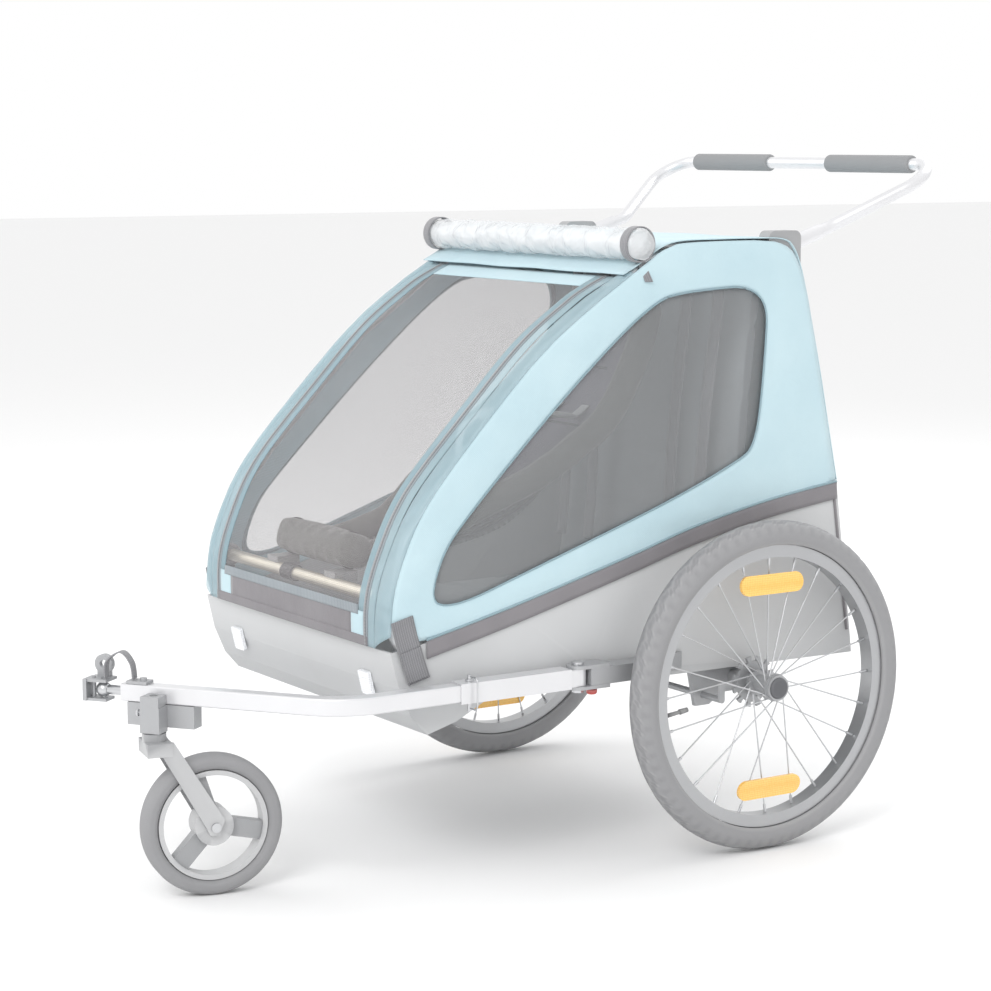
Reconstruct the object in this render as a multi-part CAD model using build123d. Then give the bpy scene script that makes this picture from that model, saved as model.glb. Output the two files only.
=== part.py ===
from build123d import *
import math
import os

# Two-seat child bicycle trailer in its push-stroller set-up, with an infant sling hung in the cabin.
# +X is the trailer's left, -Y is forward and +Z is up. Lengths are millimetres, and every Y below is
# measured from the wheel axle. The model is exported with its origin on the ground, under the middle
# of the whole trailer.

# ---------------------------------------------------------------- driving dimensions
AXLE_Y = 290.0            # where the wheel axle stands behind the origin
GAP = 0.3                 # seat clearance between pieces that rest on each other
RUN = 0.06                # radial running clearance of a pin in its hole

WHEEL_R = 250.0           # 20 inch wheel over its tyre
TRACK = 738.0             # between the two tyre centre planes
TYRE_W = 44.0
TYRE_WALL = 4.5
TYRE_DEPTH = 36.0         # tread to rim flange
RIM_R = WHEEL_R - TYRE_DEPTH
RIM_DEPTH = 18.0
RIM_W = 26.0
RIM_WALL = 2.5
SPOKES = 24
SPOKE_R = 1.1
NIPPLE_R = 2.1
NIPPLE_L = 12.0
FLANGE_X = 20.0           # hub flange centre from the wheel's centre plane
FLANGE_R = 21.0
FLANGE_T = 3.0
HUB_R = 13.0
STUB_R = 6.0              # stub axle the wheel runs on
BUTTON_R = 16.0
BUTTON_TRAVEL = 4.0
DISC_R = 39.0             # parking-brake disc on the hub
DISC_T = 5.0
DISC_NOTCHES = 12
HUB_TAIL = 11.0           # from the inner flange to the brake disc
REFLECTOR_R = RIM_R - 59  # how far out on the spokes the reflectors sit
BRAKE_Y = -60.0           # brake shaft, ahead of the axle
BRAKE_Z = 228.0
BRAKE_R = 5.0
PLATE_X = 282.0           # inner face of the axle plates
PLATE_T = 8.0
PLATE_FRONT = -88.0
PLATE_REAR = 58.0

SIDE_X = 311.3            # the flat side of the body: x = SIDE_X + SIDE_Y * y + SIDE_Z * z
SIDE_Y = 0.028
SIDE_Z = -0.031
PANEL_T = 3.0             # fabric panel thickness
TUBE_R = 9.5              # frame tube, 19 mm
CROSS_R = 8.0             # cross tubes of the cage
TUBE_INSET = 17.0         # tube centre behind the side panel's outer face
RAIL_H = 22.0
RAIL_W = 20.0
RAIL_WALL = 2.0
CROSS_MEMBERS_Y = (-560, -300, 0, 180)
RAIL_Z = 280.0            # underside of the base rails
RAIL_FRONT = -579.0
RAIL_REAR = 206.0

HINGE_Y = -588.0          # pivot of the folding cage, at the front crossbar
HINGE_Z = 419.0
HINGE_CAP_R = 17.0
HINGE_CAP_IN = 228.0
HINGE_CAP_OUT = 253.5
HINGE_PIN_R = 4.0
EYE_R = 13.0
EYE_W = 19.0
COLLAR_X = -35.0          # twist lock of the two-piece front crossbar
COLLAR_L = 34.0

ROOF_TUBE_Z = 900.0
ROOF_REAR_Y = 88.0
ROOF_FRONT_Y = -60.0
FRONT_TUBE = (-195.0, 852.0)   # cross tube that the front cover hangs from
HOOK_TUBE_Y = 10.0
ROLL_Y = -177.5           # rolled rain cover at the top of the front opening
ROLL_Z = 909.1
ROLL_R = 24.0
ROLL_STRAP_T = 2.5
LEG_PIVOT = (96.0, 872.0)
LEG_FOOT = (155.0, 470.0)
LEG_EYE_R = 12.0
LEG_LEAN = 4.0            # foot of a rear leg, in from its pivot
LATCH_H = 31.0
LATCH_W = 16.0
LATCH_R = 7.0             # barrel that the latch turns on
LATCH_LIFT = 1.1          # barrel clear of the post's sloping end
POST_TOP = (180.0, 488.0)
POST_FOOT = (196.0, RAIL_Z + RAIL_H)

CAP_HALF = 12.2           # half the width of a corner cap
SLEEVE_R = 11.6           # handlebar sleeves behind the corner caps
SLEEVE_START = (106.0, 901.0)
SLEEVE_END = (169.0, 921.0)
HANDLE_R = 9.5
HANDLE_KNEE_Y = 190.0
HANDLE_CORNER = (364.0, 352.0, 1022.0)
GRIP_R = 14.0
GRIP_IN = 75.0
GRIP_OUT = 274.0

TOW_X = 320.0             # centre line of the tow arm beside the body
TOW_Z = 290.0
TOW_PIVOT_Y = -312.0
TOW_BOLT_R = 5.0
TONGUE_H = 25.0
ARM_SQ = 25.0
ARM_WALL = 2.0
SLEEVE_WALL = 2.0
SLEEVE_SQ = ARM_SQ + 2 * SLEEVE_WALL
ARM_SLEEVE_END_Y = -520.0
ARM_CORNER_Y = -702.0
ARM_END = (53.0, -905.0)
ARM_BEND_R = 95.0
BALL_R = 11.0
BALL_AHEAD = 33.0         # ball centre past the arm's end
SKEWER_R = 6.0            # hole of the hitch for the bicycle's axle skewer
HITCH_RIVET_R = 4.0       # rivet hole that the hitch turns about, over the ball
NET_HALF = 238.0          # half the width of the front net
BORDER_W = 13.0           # cloth strip beside the net, inside the side tubes

CASTER_XY = (113.4, -889.2)
CASTER_TURN = -12.0       # degrees the front wheel is swivelled at rest
CASTER_R = 101.5          # 8 inch front wheel
CASTER_W = 36.0
CASTER_TRAIL = 80.0
CASTER_STEM_R = 6.0
CROWN_TOP_Z = 239.0

# side outlines, as (y, z)
HEM_LINE = [(-548, 358), (-404, 393), (-200, 449), (-84, 483), (54, 513), (186, 533)]
FRONT_CURVE = [(-607, 380), (-599, 432), (-577, 490), (-553, 536), (-516, 584), (-434, 672),
               (-343, 762), (-265, 819), (-186, 871)]
WINDOW = [(-155, 825), (-93, 838), (57, 845), (48, 720), (31, 600), (-10, 578), (-120, 532),
          (-340, 458), (-545, 390), (-523, 480), (-470, 540), (-300, 705)]
COVER_CURVE = [(-611, 352), (-611, 400), (-604, 440), (-585, 490), (-560, 540), (-524, 588),
               (-440, 676), (-350, 766), (-272, 823), (-200.4, 859.8)]
SLING_BACK = [(-8, 792), (-81, 652), (-120, 598), (-244, 473), (-330, 446), (-420, 438), (-505, 438)]
DISC_IN = FLANGE_X + HUB_TAIL + DISC_T           # inner face of the brake disc, from the centre plane
CUP_DEPTH = 6.0
LEG_INSET = TUBE_INSET + CAP_HALF + GAP + EYE_W / 2
BACKREST_T = 24.0
BELT_T = 4.0
BACKREST_LOW = 260.0
BACKREST_TOP = 281.8      # its edge meets the rear cross tube
SLING_RAIL = [(76.7, -7.5, 808.2), (150, -150, 628), (140, -262, 560), (76, -396, 482), (68, -524.3, 452)]
SLING_RAIL_R = 21.0
NET_T = 2.5
SLING_PAD_T = 9.0
PIN_R = 3.0
ARM_DIR = Vector(ARM_END[0] - TOW_X, ARM_END[1] - ARM_CORNER_Y, 0).normalized()
ARM_SIDE = Vector(-ARM_DIR.Y, ARM_DIR.X, 0)      # across the arm, away from the body
CASTER_BACK = (Vector(*ARM_END, 0) - Vector(*CASTER_XY, 0)).dot(ARM_DIR)
CASTER_OUT = (Vector(*CASTER_XY, 0) - Vector(*ARM_END, 0)).dot(ARM_SIDE)
SIDE_NORMAL = Vector(1, -SIDE_Y, -SIDE_Z).normalized()
LATCH_PIVOT = (POST_TOP[0] + 1, POST_TOP[1] + LATCH_LIFT + LATCH_R)


# ---------------------------------------------------------------- helpers
def side_x(y, z, inset=0.0):
    """X of the body's flat side at a height and a place along it."""
    return SIDE_X + SIDE_Y * y + SIDE_Z * z - inset


def side_point(y, z, inset=0.0):
    return Vector(side_x(y, z, inset), y, z)


def side_plate(edges, inset, thickness):
    """A flat plate parallel to the side panel, its outer face inset from the panel's outer face."""
    return extrude(make_face(edges), amount=thickness, dir=-SIDE_NORMAL)


def side_polygon(outline, inset, thickness):
    points = [side_point(y, z, inset) for y, z in outline]
    return side_plate(Polyline(*points, close=True), inset, thickness)


def both(shape):
    """The left piece and its mirror image on the right."""
    return [shape, mirror(shape, about=Plane.YZ)]


def solids(*groups):
    """One group of separate solids from pieces and lists of pieces."""
    found = []
    for group in groups:
        for piece in group if isinstance(group, (list, tuple)) else [group]:
            found += piece.solids()
    return Compound(found)


def rod(start, end, radius):
    """A round bar between two points."""
    start, end = Vector(*start), Vector(*end)
    plane = Plane(origin=start, z_dir=end - start)
    return extrude(plane * Circle(radius), amount=(end - start).length)


def cross(x0, x1, y, z, radius):
    """A round bar along X."""
    return rod((x0, y, z), (x1, y, z), radius)


def upright(x, y, z0, z1, radius):
    return rod((x, y, z0), (x, y, z1), radius)


def block(x0, x1, y0, y1, z0, z1):
    centre = ((x0 + x1) / 2, (y0 + y1) / 2, (z0 + z1) / 2)
    return Pos(*centre) * Box(abs(x1 - x0), abs(y1 - y0), abs(z1 - z0))


def swept(path, section_radius, bore=0.0):
    """A round tube along a path."""
    start = Plane(origin=path @ 0, z_dir=path % 0)
    tube = sweep(start * Circle(section_radius), path=path)
    if bore:
        tube -= sweep(start * Circle(bore), path=path)
    return tube


def profile_sheet(points, thickness, half_width):
    """A sheet bent to a (y, z) line, running across the body."""
    line = Spline(*[(-half_width, y, z) for y, z in points])
    count = 2 * len(points)
    faces = []
    for side in (-1, 1):
        normals = [Vector(1, 0, 0).cross(line % (i / count)) for i in range(count + 1)]
        faces.append(Spline(*[line @ (i / count) + n * side * thickness / 2 for i, n in enumerate(normals)]))
    low, high = faces
    section = make_face([low, high, Line(low @ 0, high @ 0), Line(low @ 1, high @ 1)])
    return extrude(section, amount=2 * half_width, dir=(1, 0, 0))


# ---------------------------------------------------------------- main wheels
def on_wheel(shape):
    """Pieces of the left wheel, built about the X axis, moved to the wheel's place."""
    return Pos(TRACK / 2, 0, WHEEL_R) * shape


def tyre():
    """Hollow tyre with its beads standing inside the rim."""
    middle = WHEEL_R - TYRE_W / 2
    seat = RIM_R + GAP
    section = Pos(0, middle) * (Circle(TYRE_W / 2) - Circle(TYRE_W / 2 - TYRE_WALL))
    section &= Pos(0, seat + TYRE_W) * Rectangle(2 * TYRE_W, 2 * TYRE_W)
    outer = RIM_W / 2 - RIM_WALL - GAP
    for side in (-1, 1):
        section += Pos(side * (outer - 1), seat + 1.5) * Rectangle(TYRE_WALL + 6, 3)
        section += Pos(side * (outer - TYRE_WALL / 2), seat - 3) * Rectangle(TYRE_WALL, 12)
    return on_wheel(revolve(section, Axis.X))


def rim():
    inner = RIM_R - RIM_DEPTH
    section = Pos(0, (inner + RIM_R) / 2) * Rectangle(RIM_W, RIM_DEPTH)
    section -= Pos(0, inner + 4 + RIM_DEPTH / 2) * Rectangle(RIM_W - 2 * RIM_WALL, RIM_DEPTH)
    return on_wheel(revolve(section, Axis.X))


def spokes():
    """Two flanges of straight spokes, each flange leaning its own way, with a nipple at the rim."""
    made = []
    rim_end = RIM_R - RIM_DEPTH - GAP - 0.5
    hub_x = FLANGE_X - FLANGE_T / 2 - SPOKE_R - GAP - 0.2
    for i in range(SPOKES):
        side = 1 if i % 2 else -1
        at_rim = math.radians(360 / SPOKES * i)
        at_hub = at_rim + side * math.radians(45)
        hub = Vector(side * hub_x, (FLANGE_R - 2) * math.cos(at_hub), (FLANGE_R - 2) * math.sin(at_hub))
        end = Vector(0, rim_end * math.cos(at_rim), rim_end * math.sin(at_rim))
        inward = (hub - end).normalized()
        nipple = rod(tuple(end), tuple(end + inward * NIPPLE_L), NIPPLE_R)
        made.append(rod(tuple(hub), tuple(end), SPOKE_R) + nipple)
    return on_wheel(Compound([s for piece in made for s in piece.solids()]))


def hub():
    """Flanged hub with the brake disc on its inner end and the button's cup on its outer end."""
    outer = FLANGE_X + FLANGE_T / 2
    section = Pos((outer - FLANGE_X) / 2, HUB_R / 2) * Rectangle(outer + FLANGE_X, HUB_R)
    for side in (-1, 1):
        section += Pos(side * FLANGE_X, FLANGE_R / 2) * Rectangle(FLANGE_T, FLANGE_R)
    section += Pos(-(DISC_IN + FLANGE_X) / 2, 7.5) * Rectangle(DISC_IN - FLANGE_X, 15)
    section += Pos(DISC_T / 2 - DISC_IN, DISC_R / 2) * Rectangle(DISC_T, DISC_R)
    section += Pos(outer + CUP_DEPTH / 2, BUTTON_R + 1.8) * Rectangle(CUP_DEPTH, 3)
    section -= Pos((outer - DISC_IN) / 2, 0) * Rectangle(outer + DISC_IN + 2, 2 * (STUB_R + RUN))
    body = revolve(section, Axis.X)
    notch = Pos(DISC_T / 2 - DISC_IN, DISC_R, 0) * Box(DISC_T + 1, 16, 11)
    for i in range(DISC_NOTCHES):
        body -= Rot(360 / DISC_NOTCHES * i, 0, 0) * notch
    return on_wheel(body)


def hub_button():
    """Domed push button of the quick release, sitting in the hub's cup."""
    inner = FLANGE_X + FLANGE_T / 2 + BUTTON_TRAVEL + GAP
    disc = cross(inner, inner + 6, 0, 0, BUTTON_R)
    return on_wheel(fillet(disc.edges().filter_by(GeomType.CIRCLE).sort_by(Axis.X)[-1], 4))


def wheel_reflectors():
    """Two amber reflectors clipped on the outer spokes, above and below the hub."""
    rise = FLANGE_X / (RIM_R - RIM_DEPTH - FLANGE_R)
    place = rise * (RIM_R - RIM_DEPTH - REFLECTOR_R) + SPOKE_R - 0.6
    made = []
    for side in (-1, 1):
        plate = extrude(Plane.YZ * SlotOverall(118, 30), amount=5)
        lean = Rot(0, -side * math.degrees(math.atan(rise)), 0)
        made.append(Pos(place, 0, side * REFLECTOR_R) * lean * plate)
    return on_wheel(Compound([s for piece in made for s in piece.solids()]))


# ---------------------------------------------------------------- base: frame, tub and axle
def base_frame():
    """Two side rails and four cross members, in square tube."""
    top = RAIL_Z + RAIL_H
    ends = [(RAIL_FRONT, RAIL_Z), (RAIL_REAR, RAIL_Z), (RAIL_REAR, top), (RAIL_FRONT, top)]
    low, high = RAIL_Z + RAIL_WALL, RAIL_Z + RAIL_H - RAIL_WALL
    bore = [(RAIL_FRONT - 1, low), (RAIL_REAR + 1, low), (RAIL_REAR + 1, high), (RAIL_FRONT - 1, high)]
    rail = side_polygon(ends, PANEL_T + GAP, RAIL_W)
    rails = both(rail - side_polygon(bore, PANEL_T + GAP + RAIL_WALL, RAIL_W - 2 * RAIL_WALL))
    members = []
    half, inner = RAIL_W / 2, RAIL_W / 2 - RAIL_WALL
    for y in CROSS_MEMBERS_Y:
        reach = side_x(y - half, RAIL_Z + RAIL_H, PANEL_T + GAP + RAIL_W) - GAP
        member = block(-reach, reach, y - half, y + half, RAIL_Z, RAIL_Z + RAIL_H)
        members.append(member - block(-reach - 1, reach + 1, y - inner, y + inner, low, high))
    return solids(rails, members)


def posts():
    """Leaning tubes from the base rails up to the hinge caps, and the rear posts under the latches."""
    top = HINGE_Z - HINGE_CAP_R - 3
    front = rod((268, -566, RAIL_Z + RAIL_H + GAP + 3), (243, HINGE_Y + 2, top), TUBE_R)
    inset = PANEL_T + GAP + RAIL_W / 2
    foot = side_point(POST_FOOT[0], POST_FOOT[1] + GAP + 1, inset)
    rear = rod(tuple(foot), tuple(side_point(*POST_TOP, inset)), TUBE_R)
    return solids(both(front), both(rear))


def hinge_caps():
    """Round hinge housings at the ends of the front crossbar, each with its pivot pin."""
    cap = cross(HINGE_CAP_IN, HINGE_CAP_OUT, HINGE_Y, HINGE_Z, HINGE_CAP_R)
    cap = fillet(cap.edges().filter_by(GeomType.CIRCLE), 3)
    pin = cross(HINGE_CAP_OUT - 2, side_x(HINGE_Y, HINGE_Z, PANEL_T + GAP), HINGE_Y, HINGE_Z, HINGE_PIN_R)
    return solids(both(cap + pin))


def crossbar():
    """Two-piece front crossbar, its halves meeting inside the twist lock."""
    end = HINGE_CAP_IN - GAP
    left = cross(COLLAR_X + GAP, end, HINGE_Y, HINGE_Z, TUBE_R)
    right = cross(-end, COLLAR_X - GAP, HINGE_Y, HINGE_Z, TUBE_R)
    return solids(left, right)


def crossbar_collar():
    ring = cross(COLLAR_X - COLLAR_L / 2, COLLAR_X + COLLAR_L / 2, HINGE_Y, HINGE_Z, TUBE_R + 3)
    ring = fillet(ring.edges().filter_by(GeomType.CIRCLE), 1.5)
    return ring - cross(COLLAR_X - COLLAR_L, COLLAR_X + COLLAR_L, HINGE_Y, HINGE_Z, TUBE_R + RUN)


def bent_plate(points, thickness, half_width):
    """A plate bent along a (y, z) line, with its thickness on the line's left-hand side."""
    runs = [Vector(0, b[0] - a[0], b[1] - a[1]).normalized() for a, b in zip(points, points[1:])]
    normals = [Vector(0, -run.Z, run.Y) for run in runs]
    inner = []
    for i, (y, z) in enumerate(points):
        before, after = normals[max(i - 1, 0)], normals[min(i, len(normals) - 1)]
        mitre = (before + after) * (thickness / (1 + before.dot(after)))
        inner.append((y + mitre.Y, z + mitre.Z))
    outline = [(-half_width, y, z) for y, z in points + inner[::-1]]
    return extrude(make_face(Polyline(*outline, close=True)), amount=2 * half_width, dir=(1, 0, 0))


def tub():
    """The lower body in one moulding: sides, front, foot well, floor and rear."""
    below = [(-605, 349), (-592, 296), (-573, 254), (-549, 227), (-500, 241), (-447, 268), (216, 268),
             (213, 303)]
    wall = side_polygon(below + [(188, 531)] + HEM_LINE[-2::-1], 0, PANEL_T)
    for y in (-270, -150):
        wall -= cross(250, 340, y, TOW_Z, 8 + GAP)
    inside = side_polygon([(-700, 200), (400, 200), (400, 900), (-700, 900)], PANEL_T / 2, 700)
    shell = bent_plate(below, PANEL_T, 330) & inside & mirror(inside, about=Plane.YZ)
    rear = bent_plate([(214.5, 290), (213, 303), (185, 524)], PANEL_T, 262)
    body = shell + rear + both(wall)[0] + both(wall)[1]
    slot = block(PLATE_X - GAP, PLATE_X + PLATE_T + GAP, PLATE_FRONT - GAP, PLATE_REAR + GAP, 260, RAIL_Z - 0.5)
    return body - both(slot)


def axle():
    """Cross beam, and the gusset plates under the rails that carry the stub axles and the brake shaft."""
    beam = cross(-PLATE_X + GAP, PLATE_X - GAP, 0, WHEEL_R, 14)
    top = RAIL_Z - 1
    corners = [(PLATE_FRONT, top), (PLATE_REAR, top), (30, 228), (-24, 228), (-48, 212), (-74, 212)]
    outline = make_face(Polyline(*[(PLATE_X, y, z) for y, z in corners], close=True))
    plate = extrude(outline, amount=PLATE_T, dir=(1, 0, 0))
    plate -= cross(PLATE_X - 5, PLATE_X + PLATE_T + 5, BRAKE_Y, BRAKE_Z, BRAKE_R + RUN)
    stub = cross(PLATE_X, TRACK / 2 + FLANGE_X, 0, WHEEL_R, STUB_R)
    stub += cross(PLATE_X, TRACK / 2 - DISC_IN - 0.5, 0, WHEEL_R, 13)
    return solids(beam, both(plate + stub))


def brake_lever():
    """Foot pedal, cross shaft and the two pawls that enter the hub discs, turning as one piece."""
    middle = TRACK / 2 - DISC_IN + DISC_T / 2
    lever = cross(-middle - 2, middle + 2, BRAKE_Y, BRAKE_Z, BRAKE_R)
    lever += both(block(middle - 2, middle + 2, BRAKE_Y - 5, BRAKE_Y + 5, BRAKE_Z, WHEEL_R + 4))
    lever += both(block(middle - 2, middle + 2, BRAKE_Y, -DISC_R - 1.5, WHEEL_R - 3, WHEEL_R + 3))
    lever += block(-6, 6, BRAKE_Y, 150, BRAKE_Z - 9, BRAKE_Z - 1)
    pedal = block(-45, 45, 145, 200, BRAKE_Z - 9, BRAKE_Z - 1)
    return lever + fillet(pedal.edges().filter_by(Axis.Z), 12)


def tow_bracket():
    """Cast strut on the left rail, ending in the clevis that the tow arm swings in."""
    top, bottom = TOW_Z + TONGUE_H / 2 + GAP, TOW_Z - TONGUE_H / 2 - GAP
    back = TOW_PIVOT_Y + 16
    outline = Polyline((302, -110), (336, -200), (336, back - 3), (304, back - 3), (302, -200), close=True)
    strut = extrude(Pos(0, 0, bottom) * make_face(outline), amount=top - bottom)
    ears = []
    for z0 in (top, bottom - 5):
        ear = block(303, 337, TOW_PIVOT_Y, back + 30, z0, z0 + 5) + upright(TOW_X, TOW_PIVOT_Y, z0, z0 + 5, 17)
        ears.append(ear - upright(TOW_X, TOW_PIVOT_Y, z0 - 1, z0 + 6, TOW_BOLT_R + RUN))
    bosses = [cross(side_x(y + 8, TOW_Z - 8, PANEL_T) + GAP, 304, y, TOW_Z, 8) for y in (-270, -150)]
    body = strut + ears[0] + ears[1] + bosses[0] + bosses[1]
    return body - upright(TOW_X, TOW_PIVOT_Y + 25, bottom - 6, bottom + 9, 5 + RUN)


def tow_bolt():
    """Vertical pivot bolt with its head and nut."""
    top, bottom = TOW_Z + TONGUE_H / 2 + GAP + 5, TOW_Z - TONGUE_H / 2 - GAP - 5
    shank = upright(TOW_X, TOW_PIVOT_Y, bottom - GAP - 4, top + GAP, TOW_BOLT_R)
    head = upright(TOW_X, TOW_PIVOT_Y, top + GAP, top + GAP + 4, 9)
    nut = extrude(Pos(TOW_X, TOW_PIVOT_Y, bottom - GAP - 5) * RegularPolygon(8.5, 6), amount=5)
    return shank + head + nut


def tow_button():
    """Red button under the clevis that frees the arm's swing."""
    ear = TOW_Z - TONGUE_H / 2 - GAP - 5
    button = upright(TOW_X, TOW_PIVOT_Y + 25, ear - 11, ear - 4, 8)
    button = fillet(button.edges().filter_by(GeomType.CIRCLE).sort_by(Axis.Z)[0], 4)
    return button + upright(TOW_X, TOW_PIVOT_Y + 25, ear - 5, ear + 4, 5)


def tie_straps():
    """Webbing straps that hold the cover down at both front corners."""
    strap = side_polygon([(-602, 384), (-562, 392), (-542, 306), (-578, 302)], -GAP - 2.5, 2.5)
    return solids(both(strap))


def front_reflectors():
    """Two square reflectors on the tub's front."""
    plate = Box(30, 5, 36)
    plate = fillet(plate.edges().filter_by(Axis.Y), 4)
    return solids(both(Pos(197, -594.5, 292) * Rot(13, 0, 0) * plate))


def seat_cushion():
    pad = block(-250, 250, -318, 18, RAIL_Z + RAIL_H + GAP, 342)
    return fillet(pad.edges().filter_by(Axis.Z), 30)


def sling_bolster():
    """Padded foot cushion strapped on the front crossbar."""
    pad = block(-118, 118, -576, -530, HINGE_Z + TUBE_R + 9, 492)
    return fillet(pad.edges().filter_by(Axis.X), 18)


def sling_clips():
    """Clips that hold the sling's foot end on the front crossbar."""
    made = []
    for x in (-88, 88):
        clip = block(x - 16, x + 16, HINGE_Y - 4, HINGE_Y + 34, HINGE_Z + 3, HINGE_Z + TUBE_R + 8.5)
        made.append(clip - cross(x - 30, x + 30, HINGE_Y, HINGE_Z, TUBE_R + GAP))
    return solids(made)


# ---------------------------------------------------------------- cage: tubes, covers and sling
def cage_tubes():
    """Two bent side tubes with their hinge eyes, three cross tubes and the handlebar sleeves."""
    points = [(HINGE_Y, HINGE_Z), (-570, 497), (-505, 577), (-338, 752), (-150, 886),
              (ROOF_FRONT_Y, ROOF_TUBE_Z), (ROOF_REAR_Y, ROOF_TUBE_Z)]
    path = FilletPolyline(*[side_point(y, z, TUBE_INSET) for y, z in points], radius=70)
    eye_x = side_x(HINGE_Y, HINGE_Z, TUBE_INSET)
    tube = swept(path, TUBE_R) + cross(eye_x - EYE_W / 2, eye_x + EYE_W / 2, HINGE_Y, HINGE_Z, EYE_R)
    tube -= cross(200, 300, HINGE_Y, HINGE_Z, HINGE_PIN_R + RUN)
    members = []
    for y, z in (FRONT_TUBE, (HOOK_TUBE_Y, ROOF_TUBE_Z), (ROOF_REAR_Y - 12, ROOF_TUBE_Z)):
        reach = side_x(y, z, TUBE_INSET + TUBE_R) - GAP
        members.append(cross(-reach, reach, y, z, CROSS_R))
    x = side_x(ROOF_REAR_Y, ROOF_TUBE_Z, TUBE_INSET)
    sleeve = rod((x, *SLEEVE_START), (x, *SLEEVE_END), SLEEVE_R)
    sleeve -= rod((x, *SLEEVE_START), (x, *SLEEVE_END), HANDLE_R + RUN)
    return solids(both(tube), members, both(sleeve))


def corner_caps():
    """Caps at the cage's rear top corners, which hold the tube ends, the sleeves and the leg pivots."""
    x = side_x(ROOF_REAR_Y, ROOF_TUBE_Z, TUBE_INSET)
    cap = block(x - CAP_HALF, x + CAP_HALF, 62, 124, LEG_PIVOT[1] - 12, ROOF_TUBE_Z + 24)
    cap = fillet(cap.edges().filter_by(Axis.X), 11)
    start = side_point(0, ROOF_TUBE_Z, TUBE_INSET)
    end = side_point(ROOF_REAR_Y, ROOF_TUBE_Z, TUBE_INSET)
    cap -= rod(tuple(start), tuple(end), TUBE_R + RUN)
    cap -= rod((x, *SLEEVE_START), (x, *SLEEVE_END), SLEEVE_R + RUN)
    cap -= cross(0, x, ROOF_REAR_Y - 12, ROOF_TUBE_Z, CROSS_R + RUN)
    cap -= block(x - 5, x + 5, ROOF_REAR_Y - 10, SLEEVE_START[0] + 1, ROOF_TUBE_Z - 6, ROOF_TUBE_Z + 6)
    pin = cross(x - CAP_HALF - GAP - EYE_W - 2, x, *LEG_PIVOT, HINGE_PIN_R)
    return solids(both(cap + pin))


def rear_legs():
    """Rear uprights of the cage, which swing forward under the roof as the cage folds."""
    x = side_x(ROOF_REAR_Y, ROOF_TUBE_Z, LEG_INSET)
    leg = rod((x, *LEG_PIVOT), (x - LEG_LEAN, *LEG_FOOT), TUBE_R)
    leg += cross(x - EYE_W / 2, x + EYE_W / 2, *LEG_PIVOT, LEG_EYE_R)
    leg -= cross(x - EYE_W, x + EYE_W, *LEG_PIVOT, HINGE_PIN_R + RUN)
    return solids(both(leg))


def latch():
    """Swinging catch on top of the left rear post."""
    x = side_x(*POST_TOP, PANEL_T + GAP + RAIL_W / 2)
    y, z = LATCH_PIVOT
    barrel = cross(x - LATCH_W / 2, x + LATCH_W / 2, y, z, LATCH_R)
    lever = block(x - LATCH_W / 2, x + LATCH_W / 2, y - LATCH_R + 1, y + LATCH_R - 1, z, POST_TOP[1] + LATCH_H)
    rounded = lever.edges().filter_by(Axis.X).group_by(Axis.Z)[-1]
    return barrel + fillet(rounded, LATCH_R - 3)


def roof_panel():
    """Roof panel between the side tubes, narrower at the rear between the corner caps."""
    low = ROOF_TUBE_Z + TUBE_R + GAP
    wide = block(-276, 276, -128, 52, low, low + PANEL_T)
    return wide + block(-250, 250, 50, 98, low, low + PANEL_T)


def side_panels():
    """Upper side panels from the roof to the hem, each with its window opening."""
    hem = [side_point(y, z + 2) for y, z in HEM_LINE]
    over = [(170, 626), (135, 815), (120, 866), (97, 903), (60, 911), (-124, 908)]
    rear = [side_point(y, z) for y, z in over]
    front = [side_point(y, z) for y, z in FRONT_CURVE]
    edges = [Polyline(front[0], side_point(-606, 353), *hem, *rear, front[-1]), Spline(*front)]
    window = FilletPolyline(*[side_point(y, z, -1) for y, z in WINDOW], radius=12, close=True)
    panel = side_plate(edges, 0, PANEL_T) - extrude(make_face(window), amount=PANEL_T + 2, dir=-SIDE_NORMAL)
    return solids(both(panel))


def side_windows():
    """Clear panes behind the window openings."""
    points = [side_point(y, z, PANEL_T + 0.3) for y, z in WINDOW]
    face = make_face(FilletPolyline(*points, radius=12, close=True))
    pane = extrude(offset(face, 6), amount=1.5, dir=-SIDE_NORMAL)
    return solids(both(pane))


def rear_panel():
    return Pos(0, 151, 716) * Rot(14.5, 0, 0) * Box(500, PANEL_T, 352)


def covers():
    """The cage's fabric shell: roof, sides and rear."""
    return solids(roof_panel(), side_panels(), rear_panel())


def on_backrest(shape):
    return Pos(0, 62, 610) * Rot(-5, 0, 0) * shape


def backrest():
    """Seat back for two, hung from the rear cross tube."""
    pad = Pos(0, 0, (BACKREST_TOP - BACKREST_LOW) / 2) * Box(470, BACKREST_T, BACKREST_TOP + BACKREST_LOW)
    return on_backrest(fillet(pad.edges().filter_by(Axis.Y), 25))


def seat_harness():
    """Shoulder belts and buckles of the two seats, lying on the seat back."""
    made = []
    for x in (-190, -110, 110, 190):
        made.append(on_backrest(Pos(x, -(BACKREST_T + BELT_T) / 2 - 0.5, -50) * Box(30, BELT_T, 380)))
    for x in (-150, 150):
        made.append(block(x - 22, x + 22, -60, -28, 342.6, 358))
    return solids(made)


def rain_cover_roll():
    """Clear rain cover rolled up at the top of the front opening."""
    return cross(-284, 284, ROLL_Y, ROLL_Z, ROLL_R)


def roll_straps():
    """Straps round both ends of the rolled cover."""
    strap = cross(268, 280, ROLL_Y, ROLL_Z, ROLL_R + ROLL_STRAP_T)
    strap -= cross(260, 290, ROLL_Y, ROLL_Z, ROLL_R + GAP)
    return solids(both(strap))


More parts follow.
